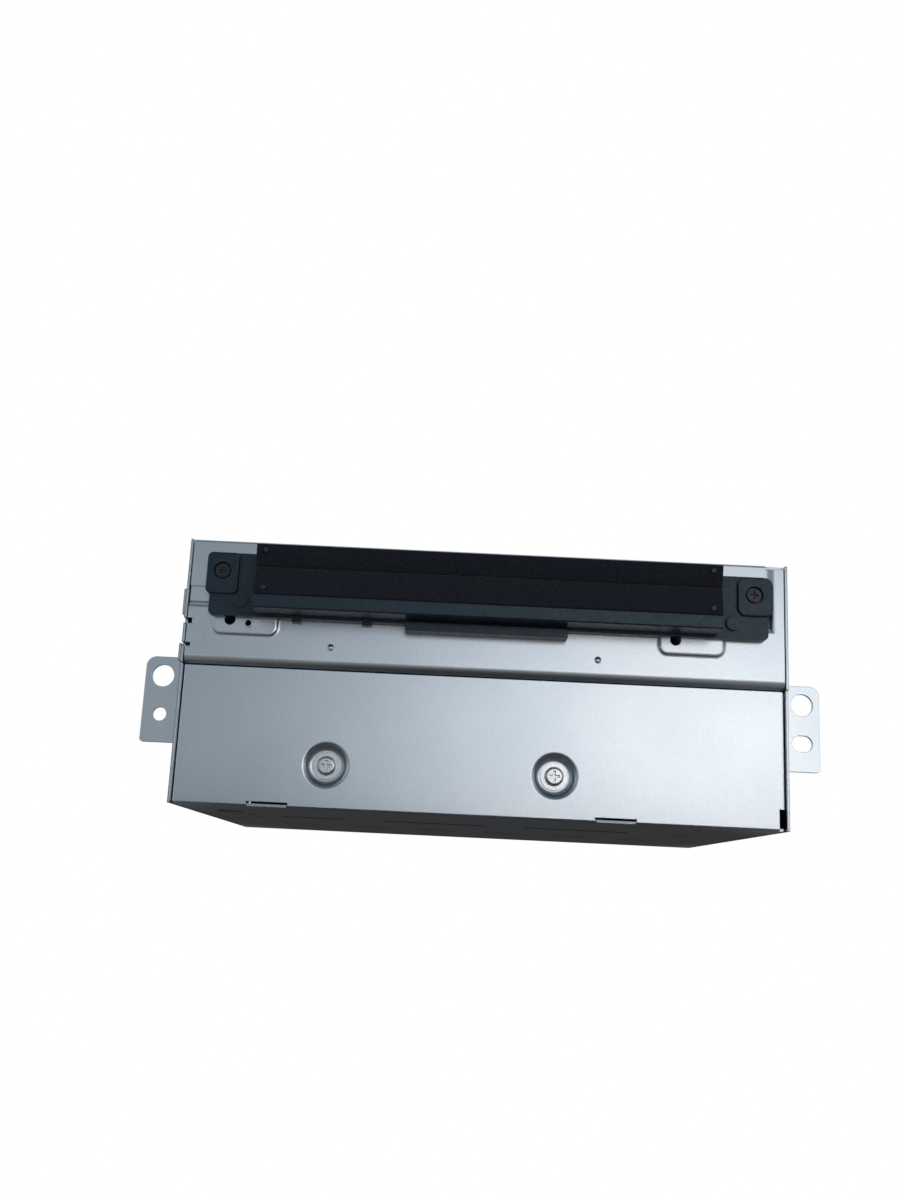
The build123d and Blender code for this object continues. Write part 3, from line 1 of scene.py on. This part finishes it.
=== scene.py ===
import json
from math import radians
import bpy
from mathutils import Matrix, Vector


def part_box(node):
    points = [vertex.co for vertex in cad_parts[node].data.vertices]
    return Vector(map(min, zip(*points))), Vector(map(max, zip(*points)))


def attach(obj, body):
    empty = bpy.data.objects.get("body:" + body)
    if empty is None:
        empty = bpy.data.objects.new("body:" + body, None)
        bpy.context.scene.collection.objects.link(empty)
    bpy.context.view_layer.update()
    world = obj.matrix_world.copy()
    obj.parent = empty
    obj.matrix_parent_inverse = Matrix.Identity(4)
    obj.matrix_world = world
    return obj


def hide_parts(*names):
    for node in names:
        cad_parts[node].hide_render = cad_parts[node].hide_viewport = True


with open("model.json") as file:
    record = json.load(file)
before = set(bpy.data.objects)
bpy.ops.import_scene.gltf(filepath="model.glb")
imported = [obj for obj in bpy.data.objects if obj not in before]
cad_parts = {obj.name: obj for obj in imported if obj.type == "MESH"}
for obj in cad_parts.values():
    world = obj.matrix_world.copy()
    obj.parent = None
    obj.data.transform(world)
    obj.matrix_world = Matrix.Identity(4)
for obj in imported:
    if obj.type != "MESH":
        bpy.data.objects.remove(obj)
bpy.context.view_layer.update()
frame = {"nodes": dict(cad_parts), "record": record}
nodes = frame["nodes"]
print("frame loaded:", len(nodes), "CAD nodes")


def addNode(tree, kind, **settings):
    node = tree.nodes.new(kind)
    for name, value in settings.items():
        setattr(node, name, value)
    return node


def noiseOf(tree, place, scale, detail, roughness=0.5):
    # a noise texture on object coordinates, its scale in features per metre
    noise = addNode(tree, "ShaderNodeTexNoise")
    noise.inputs["Scale"].default_value = scale
    noise.inputs["Detail"].default_value = detail
    noise.inputs["Roughness"].default_value = roughness
    tree.links.new(place, noise.inputs["Vector"])
    return noise.outputs["Fac"]


def rangeOf(tree, source, low, high, newLow, newHigh, smooth=False):
    # maps one span of a value to another
    node = addNode(tree, "ShaderNodeMapRange", interpolation_type="SMOOTHSTEP" if smooth else "LINEAR")
    for name, value in (("From Min", low), ("From Max", high), ("To Min", newLow), ("To Max", newHigh)):
        node.inputs[name].default_value = value
    tree.links.new(source, node.inputs["Value"])
    return node.outputs["Result"]


def mathOf(tree, operation, *values):
    # each value is a socket or a plain number
    node = addNode(tree, "ShaderNodeMath", operation=operation)
    for socket, value in zip(node.inputs, values):
        if isinstance(value, float):
            socket.default_value = value
        else:
            tree.links.new(value, socket)
    return node.outputs[0]


def mixOf(tree, factor, first, second, blend="MIX"):
    # mixes two colours, each a socket or a plain colour
    node = addNode(tree, "ShaderNodeMix", data_type="RGBA", blend_type=blend)
    tree.links.new(factor, node.inputs["Factor"])
    for name, colour in (("A", first), ("B", second)):
        socket = [s for s in node.inputs if s.name == name and s.type == "RGBA"][0]
        if isinstance(colour, tuple):
            socket.default_value = (*colour, 1.0)
        else:
            tree.links.new(colour, socket)
    return [s for s in node.outputs if s.type == "RGBA"][0]


def mixShaders(tree, factor, first, second):
    node = addNode(tree, "ShaderNodeMixShader")
    for socket, source in zip(node.inputs, (factor, first, second)):
        tree.links.new(source, socket)
    return node.outputs[0]


def bumpOf(tree, height, strength, distance, normal):
    node = addNode(tree, "ShaderNodeBump")
    node.inputs["Strength"].default_value = strength
    node.inputs["Distance"].default_value = distance
    tree.links.new(height, node.inputs["Height"])
    tree.links.new(normal, node.inputs["Normal"])
    return node.outputs["Normal"]


def openMaterial(name):
    material = bpy.data.materials.new(name)
    material.use_nodes = True
    return material, material.node_tree


# what all finishes share: spans are of a noise's value, edgeWearAndShadeSpan is of how far a softened edge
# turns
finishSettings = {"mottleDetail": 3.0, "mottleRoughness": 0.6, "mottleSpan": (0.3, 0.7),
                  "glossScale": 2.7, "glossDetail": 4.0, "glossSpan": (0.3, 0.7), "edgeSamples": 4,
                  "edgeWearAndShadeSpan": (0.80, 0.97), "grainDetail": 2.0, "grainRoughness": 0.7}
plainLook = {"metallic": 0.0, "grainDepth": 0.0001, "edgeRadius": 0.0002, "sockets": {}}


def makeFinish(name, ownLook):
    # a surface with mottled colour and gloss, grain, softened edges and a colour along them: wear on most
    # finishes, painted shade on the side plates
    look = {**plainLook, **ownLook}
    material, tree = openMaterial(name)
    shader = tree.nodes["Principled BSDF"]
    place = addNode(tree, "ShaderNodeTexCoord").outputs["Object"]
    for socket, value in look["sockets"].items():
        shader.inputs[socket].default_value = value
    shader.inputs["Metallic"].default_value = look["metallic"]
    mottle = noiseOf(tree, place, look["mottleScale"], finishSettings["mottleDetail"],
                     finishSettings["mottleRoughness"])
    fade = rangeOf(tree, mottle, *finishSettings["mottleSpan"], 0.0, 1.0)
    colour = mixOf(tree, fade, look["darkColour"], look["lightColour"])
    sheen = noiseOf(tree, place, look["mottleScale"] * finishSettings["glossScale"],
                    finishSettings["glossDetail"])
    gloss = rangeOf(tree, sheen, *finishSettings["glossSpan"],
                    look["roughness"] - look["glossSpread"], look["roughness"] + look["glossSpread"])
    rounded = addNode(tree, "ShaderNodeBevel", samples=finishSettings["edgeSamples"])
    rounded.inputs["Radius"].default_value = look["edgeRadius"]
    if "edgeWearAndShade" in look:
        # the softened normal leaves the true one along an edge, and that is where the edge colour goes:
        # wear on most finishes, painted shade on the side plates
        facing = addNode(tree, "ShaderNodeVectorMath", operation="DOT_PRODUCT")
        tree.links.new(rounded.outputs["Normal"], facing.inputs[0])
        tree.links.new(addNode(tree, "ShaderNodeNewGeometry").outputs["Normal"], facing.inputs[1])
        wornAndShadedEdge = rangeOf(tree, facing.outputs["Value"], *finishSettings["edgeWearAndShadeSpan"], look["edgeWearAndShade"], 0.0)
        colour = mixOf(tree, wornAndShadedEdge, colour, look["edgeColour"])
    grain = noiseOf(tree, place, look["grainScale"], finishSettings["grainDetail"],
                    finishSettings["grainRoughness"])
    normal = bumpOf(tree, grain, look["grainStrength"], look["grainDepth"], rounded.outputs["Normal"])
    return {"material": material, "tree": tree, "shader": shader, "place": place, "colour": colour,
            "gloss": gloss, "normal": normal}


def addClouds(finish, clouds):
    # broad, soft changes of tone, as of handling and an uneven plating bath
    tree = finish["tree"]
    haze = noiseOf(tree, finish["place"], clouds["scale"], clouds["detail"], clouds["roughness"])
    tone = rangeOf(tree, haze, *clouds["span"], 0.0, clouds["amount"])
    finish["colour"] = mixOf(tree, tone, finish["colour"], clouds["colour"], "MULTIPLY")


def closeFinish(finish):
    tree, shader = finish["tree"], finish["shader"]
    for value, socket in (("colour", "Base Color"), ("gloss", "Roughness"), ("normal", "Normal")):
        tree.links.new(finish[value], shader.inputs[socket])
    return finish["material"]


sheetLook = {"darkColour": (0.538, 0.582, 0.632), "lightColour": (0.592, 0.634, 0.683), "metallic": 1.0,
             "roughness": 0.30, "glossSpread": 0.022, "mottleScale": 1270.0, "grainScale": 2930.0,
             "grainStrength": 0.03, "grainDepth": 0.0002, "edgeRadius": 0.00025,
             "edgeColour": (0.80, 0.83, 0.86), "edgeWearAndShade": 0.6}
sheetClouds = {"scale": 38.0, "detail": 3.0, "roughness": 0.55, "span": (0.35, 0.65), "amount": 0.5,
               "colour": (0.86, 0.89, 0.93)}
# the side plates get painted shade along their edges: a near-black edge colour in a wider band, standing in
# for the shade on their front edges
shadedEdgeLook = {**sheetLook, "edgeColour": (0.06, 0.065, 0.07), "edgeWearAndShade": 0.9, "edgeRadius": 0.0006}

looks = {
    "slatePlastic": {"darkColour": (0.0035, 0.0060, 0.0130), "lightColour": (0.0065, 0.0110, 0.0220),
                     "roughness": 0.32, "glossSpread": 0.07, "mottleScale": 260.0, "grainScale": 5200.0,
                     "grainStrength": 0.25, "edgeRadius": 0.0003,
                     "edgeColour": (0.045, 0.052, 0.066), "edgeWearAndShade": 0.35,
                     "sockets": {"Specular IOR Level": 0.45, "Specular Tint": (0.72, 0.92, 1.0, 1.0)}},
    "blackFelt": {"darkColour": (0.0022, 0.0027, 0.0050), "lightColour": (0.0105, 0.0130, 0.0210),
                  "roughness": 0.94, "glossSpread": 0.04, "mottleScale": 2300.0, "grainScale": 3400.0,
                  "grainStrength": 0.9, "grainDepth": 0.0004,
                  "sockets": {"Sheen Weight": 0.05, "Sheen Roughness": 0.5, "Specular IOR Level": 0.12}},
    "blackZinc": {"darkColour": (0.010, 0.011, 0.014), "lightColour": (0.040, 0.042, 0.050),
                  "metallic": 0.7, "roughness": 0.30, "glossSpread": 0.08, "mottleScale": 1500.0,
                  "grainScale": 5000.0, "grainStrength": 0.2, "edgeRadius": 0.00015,
                  "edgeColour": (0.30, 0.31, 0.33), "edgeWearAndShade": 0.5},
    "nickelScrew": {"darkColour": (0.50, 0.52, 0.54), "lightColour": (0.66, 0.67, 0.68),
                    "metallic": 1.0, "roughness": 0.26, "glossSpread": 0.06, "mottleScale": 1500.0,
                    "grainScale": 5000.0, "grainStrength": 0.15},
    "boardMask": {"darkColour": (0.010, 0.075, 0.035), "lightColour": (0.018, 0.13, 0.058),
                  "roughness": 0.30, "glossSpread": 0.06, "mottleScale": 340.0, "grainScale": 2400.0,
                  "grainStrength": 0.2},
    "chipPlastic": {"darkColour": (0.016, 0.016, 0.018), "lightColour": (0.032, 0.032, 0.034),
                    "roughness": 0.5, "glossSpread": 0.08, "mottleScale": 500.0, "grainScale": 5200.0,
                    "grainStrength": 0.25},
    "softRubber": {"darkColour": (0.014, 0.014, 0.015), "lightColour": (0.030, 0.030, 0.031),
                   "roughness": 0.75, "glossSpread": 0.08, "mottleScale": 500.0, "grainScale": 3200.0,
                   "grainStrength": 0.35, "grainDepth": 0.0002, "edgeRadius": 0.0003},
    "drawnSteel": {"darkColour": (0.46, 0.47, 0.48), "lightColour": (0.60, 0.61, 0.62), "metallic": 1.0,
                   "roughness": 0.30, "glossSpread": 0.07, "mottleScale": 700.0, "grainScale": 3200.0,
                   "grainStrength": 0.12, "edgeRadius": 0.0003},
    "groundSteel": {"darkColour": (0.62, 0.63, 0.65), "lightColour": (0.74, 0.75, 0.77),
                    "metallic": 1.0, "roughness": 0.16, "glossSpread": 0.04, "mottleScale": 900.0,
                    "grainScale": 4200.0, "grainStrength": 0.08, "edgeRadius": 0.0001},
    "acetalGear": {"darkColour": (0.66, 0.64, 0.57), "lightColour": (0.76, 0.74, 0.68),
                   "roughness": 0.42, "glossSpread": 0.05, "mottleScale": 320.0, "grainScale": 3600.0,
                   "grainStrength": 0.15},
    "mechPlastic": {"darkColour": (0.020, 0.020, 0.022), "lightColour": (0.036, 0.036, 0.040),
                    "roughness": 0.48, "glossSpread": 0.07, "mottleScale": 300.0, "grainScale": 4800.0,
                    "grainStrength": 0.25, "edgeRadius": 0.0003},
    "stampedAluminium": {"darkColour": (0.60, 0.61, 0.63), "lightColour": (0.72, 0.73, 0.75),
                         "metallic": 1.0, "roughness": 0.33, "glossSpread": 0.05,
                         "mottleScale": 500.0, "grainScale": 3000.0, "grainStrength": 0.1},
    "goldFlash": {"darkColour": (0.62, 0.46, 0.20), "lightColour": (0.78, 0.60, 0.30), "metallic": 1.0,
                  "roughness": 0.25, "glossSpread": 0.05, "mottleScale": 900.0, "grainScale": 4000.0,
                  "grainStrength": 0.1, "edgeRadius": 0.0001},
    "lensGlass": {"darkColour": (0.30, 0.42, 0.70), "lightColour": (0.42, 0.54, 0.80),
                  "roughness": 0.06, "glossSpread": 0.02, "mottleScale": 900.0, "grainScale": 4000.0,
                  "grainStrength": 0.02, "sockets": {"Coat Weight": 1.0, "IOR": 1.52}},
}
finishes = {name: closeFinish(makeFinish(name, look)) for name, look in looks.items()}
for name, look in (("zincSheet", sheetLook), ("shadedEdgeSheet", shadedEdgeLook)):
    sheetFinish = makeFinish(name, look)
    addClouds(sheetFinish, sheetClouds)
    finishes[name] = closeFinish(sheetFinish)

# the record's material slots and their finishes
slotFinish = {
    "zinc_steel": "zincSheet", "bright_screw": "nickelScrew", "black_screw": "blackZinc",
    "black_plastic": "slatePlastic", "black_felt": "blackFelt", "board_green": "boardMask",
    "component_black": "chipPlastic", "connector_plastic": "mechPlastic", "pin_brass": "goldFlash",
    "black_rubber": "softRubber", "spring_steel": "drawnSteel", "polished_steel": "groundSteel",
    "motor_can": "drawnSteel", "gear_plastic": "acetalGear", "mech_plastic": "mechPlastic",
    "tray_aluminium": "stampedAluminium", "lens_glass": "lensGlass",
}
for piece in frame["record"]["subparts"]:
    # side plates take the sheet finish with painted shade along their edges
    isSide = piece["node"].startswith("side_plate")
    mesh = nodes[piece["node"]].data
    mesh.materials.clear()
    mesh.materials.append(finishes["shadedEdgeSheet" if isSide else slotFinish[piece["material_slot"]]])
print("finishes made:", len(finishes))

# felt lips: two strips whose faces lean in to the slit by slope, one mesh
feltSettings = {"columns": 168, "rows": 12, "slope": 0.0016, "slitPull": 0.00025, "pullPower": 8,
                "bow": 0.00018, "ripple": 0.00010, "rippleSize": 0.004, "edgeRound": 0.0002,
                "roundSegments": 2, "roundAngle": 50.0, "smoothAngle": 40.0}


def addFeltStrip(name, nodeName, slitUp):
    low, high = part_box(nodeName)
    outerZ, slitZ = (low[2], high[2]) if slitUp else (high[2], low[2])
    height = abs(slitZ - outerZ)
    bpy.ops.object.select_all(action="DESELECT")
    bpy.ops.mesh.primitive_grid_add(x_subdivisions=feltSettings["columns"],
                                    y_subdivisions=feltSettings["rows"], size=1.0)
    strip = bpy.context.active_object
    strip.name = name
    bpy.ops.object.mode_set(mode="EDIT")
    bpy.ops.mesh.select_all(action="SELECT")
    bpy.ops.transform.resize(value=(high[0] - low[0], height, 1.0), center_override=(0, 0, 0))
    bpy.ops.transform.rotate(value=radians(-90), orient_axis="X", center_override=(0, 0, 0))
    bpy.ops.transform.translate(value=((low[0] + high[0]) / 2, low[1], (low[2] + high[2]) / 2))
    bpy.ops.object.mode_set(mode="OBJECT")
    for vertex in strip.data.vertices:
        share = abs(vertex.co.z - outerZ) / height
        vertex.co.y += feltSettings["slope"] * share
        vertex.co.y += feltSettings["slitPull"] * share ** feltSettings["pullPower"]
        vertex.co.y -= feltSettings["bow"] * 4 * share * (1 - share)
    bpy.ops.object.mode_set(mode="EDIT")
    bpy.ops.mesh.select_all(action="SELECT")
    bpy.ops.mesh.extrude_region_move()
    bpy.ops.transform.resize(value=(1, 0, 1), center_override=(0, high[1], 0))  # a flat back
    bpy.ops.mesh.select_all(action="SELECT")
    bpy.ops.mesh.normals_make_consistent(inside=False)
    bpy.ops.object.mode_set(mode="OBJECT")
    return strip


strips = [addFeltStrip("feltLips", "felt_upper", False), addFeltStrip("feltStripLower", "felt_lower", True)]
for strip in strips:
    bpy.context.view_layer.objects.active = strip
    ripple = strip.modifiers.new("ripple", "DISPLACE")
    ripple.texture = bpy.data.textures.new("feltRipple", "CLOUDS")
    ripple.texture.noise_scale = feltSettings["rippleSize"]
    ripple.strength = feltSettings["ripple"]
    bpy.ops.object.modifier_apply(modifier="ripple")
    rounding = strip.modifiers.new("rounding", "BEVEL")
    rounding.width = feltSettings["edgeRound"]
    rounding.segments = feltSettings["roundSegments"]
    rounding.angle_limit = radians(feltSettings["roundAngle"])
    bpy.ops.object.modifier_apply(modifier="rounding")
bpy.ops.object.select_all(action="DESELECT")
for strip in strips:
    strip.select_set(True)
feltLips = strips[0]
bpy.context.view_layer.objects.active = feltLips
bpy.ops.object.join()
bpy.ops.object.shade_smooth_by_angle(angle=radians(feltSettings["smoothAngle"]))
bpy.ops.object.transform_apply(location=True, rotation=True, scale=True)
feltLips.data.materials.clear()
feltLips.data.materials.append(finishes["blackFelt"])
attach(feltLips, "case")
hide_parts("felt_upper", "felt_lower")
print("felt lips made")

cameraSettings = {"place": (-0.0099, -0.4354, -0.0202), "turn": (102.994, -2.650, -0.437), "lens": 37.5}
cameraData = bpy.data.cameras.new("photoCamera")
cameraData.lens = cameraSettings["lens"]
camera = bpy.data.objects.new("photoCamera", cameraData)
camera.location = cameraSettings["place"]
camera.rotation_euler = [radians(angle) for angle in cameraSettings["turn"]]
bpy.context.collection.objects.link(camera)
bpy.context.scene.camera = camera

# the camera and reflections see a white world; matt surfaces get worldDiffuse of it
studioSettings = {"worldDiffuse": 0.55, "lampAim": (0.0, 0.0, 0.04), "lampSize": 1.0}
softboxes = {"keySoftbox": {"place": (0.8, -1.1, 1.2), "power": 12.0},
             "fillSoftbox": {"place": (-1.1, -0.7, 0.7), "power": 5.0}}
world = bpy.data.worlds.new("paleStudio")
bpy.context.scene.world = world
world.use_nodes = True
worldTree = world.node_tree
background = worldTree.nodes["Background"]
background.inputs["Color"].default_value = (1.0, 1.0, 1.0, 1.0)
rays = addNode(worldTree, "ShaderNodeLightPath")
seen = mathOf(worldTree, "MAXIMUM", rays.outputs["Is Camera Ray"], rays.outputs["Is Glossy Ray"])
seen = mathOf(worldTree, "MAXIMUM", seen, rays.outputs["Is Transmission Ray"])
strength = rangeOf(worldTree, seen, 0.0, 1.0, studioSettings["worldDiffuse"], 1.0)
worldTree.links.new(strength, background.inputs["Strength"])
for name, softbox in softboxes.items():
    # a lamp for the matt surfaces; the tent does the metal
    data = bpy.data.lights.new(name, "AREA")
    data.shape = "SQUARE"
    data.size = studioSettings["lampSize"]
    data.energy = softbox["power"]
    lamp = bpy.data.objects.new(name, data)
    lamp.location = softbox["place"]
    beam = Vector(studioSettings["lampAim"]) - Vector(softbox["place"])
    lamp.rotation_euler = beam.to_track_quat("-Z", "Y").to_euler()
    lamp.visible_glossy = False
    bpy.context.collection.objects.link(lamp)

# the floor shows its colour and the object's shadow; reflections see a painted glow on it instead, with
# painted shade darker close to the object:
# near, front and far are a distance from the middle and how bright the painted reflection is there
floorSettings = {"size": 6.0, "drop": 0.0002, "colour": (0.86, 0.86, 0.86), "roughness": 0.9,
                 "near": (0.085, 0.05), "front": (0.17, 0.26), "far": (0.8, 0.75)}
floorMaterial, floorTree = openMaterial("paleFloor")
paint = floorTree.nodes["Principled BSDF"]
paint.inputs["Base Color"].default_value = (*floorSettings["colour"], 1.0)
paint.inputs["Roughness"].default_value = floorSettings["roughness"]
away = addNode(floorTree, "ShaderNodeVectorMath", operation="LENGTH")
floorTree.links.new(addNode(floorTree, "ShaderNodeTexCoord").outputs["Object"], away.inputs[0])
near, front, far = (floorSettings[key] for key in ("near", "front", "far"))
inFront = rangeOf(floorTree, away.outputs["Value"], near[0], front[0], near[1], front[1], True)
beyond = rangeOf(floorTree, away.outputs["Value"], front[0], far[0], 0.0, far[1] - front[1], True)
# painted reflection: a glow only reflections see, with painted shade that darkens it near the object
paintedFloorReflection = addNode(floorTree, "ShaderNodeEmission")
floorTree.links.new(mathOf(floorTree, "ADD", inFront, beyond), paintedFloorReflection.inputs["Strength"])
floorLook = mixShaders(floorTree, addNode(floorTree, "ShaderNodeLightPath").outputs["Is Glossy Ray"],
                       paint.outputs[0], paintedFloorReflection.outputs[0])
floorLook = mixShaders(floorTree, addNode(floorTree, "ShaderNodeNewGeometry").outputs["Backfacing"],
                       floorLook, addNode(floorTree, "ShaderNodeBsdfTransparent").outputs[0])
floorTree.links.new(floorLook, floorTree.nodes["Material Output"].inputs["Surface"])
bpy.ops.object.select_all(action="DESELECT")
bpy.ops.mesh.primitive_plane_add(size=floorSettings["size"], location=(0, 0, -floorSettings["drop"]))
floor = bpy.context.active_object
floor.name = "paleFloor"
floor.data.materials.append(floorMaterial)

# a tent that only reflections see: one bright patch in front, to the right, and a plain rear;
# places and sizes on it are shares of its radius
tentSettings = {"radius": 1.6, "segments": 96, "rings": 48, "patch": (0.25, 0.09), "patchWide": 0.44,
                "patchUp": 0.29, "patchDown": 0.22, "dim": 0.42, "bright": 3.05,
                "dimColour": (0.87, 1.0, 1.09), "brightColour": (1.07, 0.99, 0.92),
                "rearLow": 0.95, "rearHigh": 0.55, "rearTop": 0.95, "frontStart": 0.15, "frontFull": 0.65,
                "topFrom": 0.30, "topTo": 0.60, "topShare": 0.25}
tentMaterial, tentTree = openMaterial("reflectorTent")
tentTree.nodes.remove(tentTree.nodes["Principled BSDF"])
scaled = addNode(tentTree, "ShaderNodeVectorMath", operation="SCALE")
scaled.inputs["Scale"].default_value = 1.0 / tentSettings["radius"]
tentTree.links.new(addNode(tentTree, "ShaderNodeTexCoord").outputs["Object"], scaled.inputs[0])
split = addNode(tentTree, "ShaderNodeSeparateXYZ")
tentTree.links.new(scaled.outputs[0], split.inputs[0])
side, depth, rise = split.outputs
sideways = mathOf(tentTree, "SUBTRACT", side, tentSettings["patch"][0])
sideways = mathOf(tentTree, "DIVIDE", sideways, tentSettings["patchWide"])
fromPatch = mathOf(tentTree, "SUBTRACT", rise, tentSettings["patch"][1])
above = mathOf(tentTree, "DIVIDE", fromPatch, tentSettings["patchUp"])
below = mathOf(tentTree, "DIVIDE", fromPatch, -tentSettings["patchDown"])
upright = mathOf(tentTree, "MAXIMUM", above, below)
squares = [mathOf(tentTree, "MULTIPLY", way, way) for way in (sideways, upright)]
outward = mathOf(tentTree, "SQRT", mathOf(tentTree, "ADD", *squares))
patch = rangeOf(tentTree, outward, 0.0, 1.0, 1.0, 0.0, True)
frontLevel = rangeOf(tentTree, patch, 0.0, 1.0, tentSettings["dim"], tentSettings["bright"])
topFade = rangeOf(tentTree, rise, tentSettings["topFrom"], tentSettings["topTo"],
                  1.0, tentSettings["topShare"], True)
frontLevel = mathOf(tentTree, "MULTIPLY", frontLevel, topFade)
rearLevel = rangeOf(tentTree, rise, 0.0, tentSettings["rearTop"],
                    tentSettings["rearLow"], tentSettings["rearHigh"])
isFront = rangeOf(tentTree, depth, -tentSettings["frontFull"], -tentSettings["frontStart"], 1.0, 0.0, True)
isRear = mathOf(tentTree, "SUBTRACT", 1.0, isFront)
level = mathOf(tentTree, "ADD", mathOf(tentTree, "MULTIPLY", frontLevel, isFront),
               mathOf(tentTree, "MULTIPLY", rearLevel, isRear))
glow = addNode(tentTree, "ShaderNodeEmission")
glowColour = mixOf(tentTree, patch, tentSettings["dimColour"], tentSettings["brightColour"])
tentTree.links.new(glowColour, glow.inputs["Color"])
tentTree.links.new(level, glow.inputs["Strength"])
tentTree.links.new(glow.outputs[0], tentTree.nodes["Material Output"].inputs["Surface"])
bpy.ops.object.select_all(action="DESELECT")
bpy.ops.mesh.primitive_uv_sphere_add(segments=tentSettings["segments"], ring_count=tentSettings["rings"],
                                     radius=tentSettings["radius"])
tent = bpy.context.active_object
tent.name = "reflectorTent"
tent.data.materials.append(tentMaterial)
for unseen in ("visible_camera", "visible_diffuse", "visible_shadow", "visible_transmission"):
    setattr(tent, unseen, False)
print("camera, lights, floor and tent placed")

bpy.context.scene.view_settings.view_transform = "Standard"
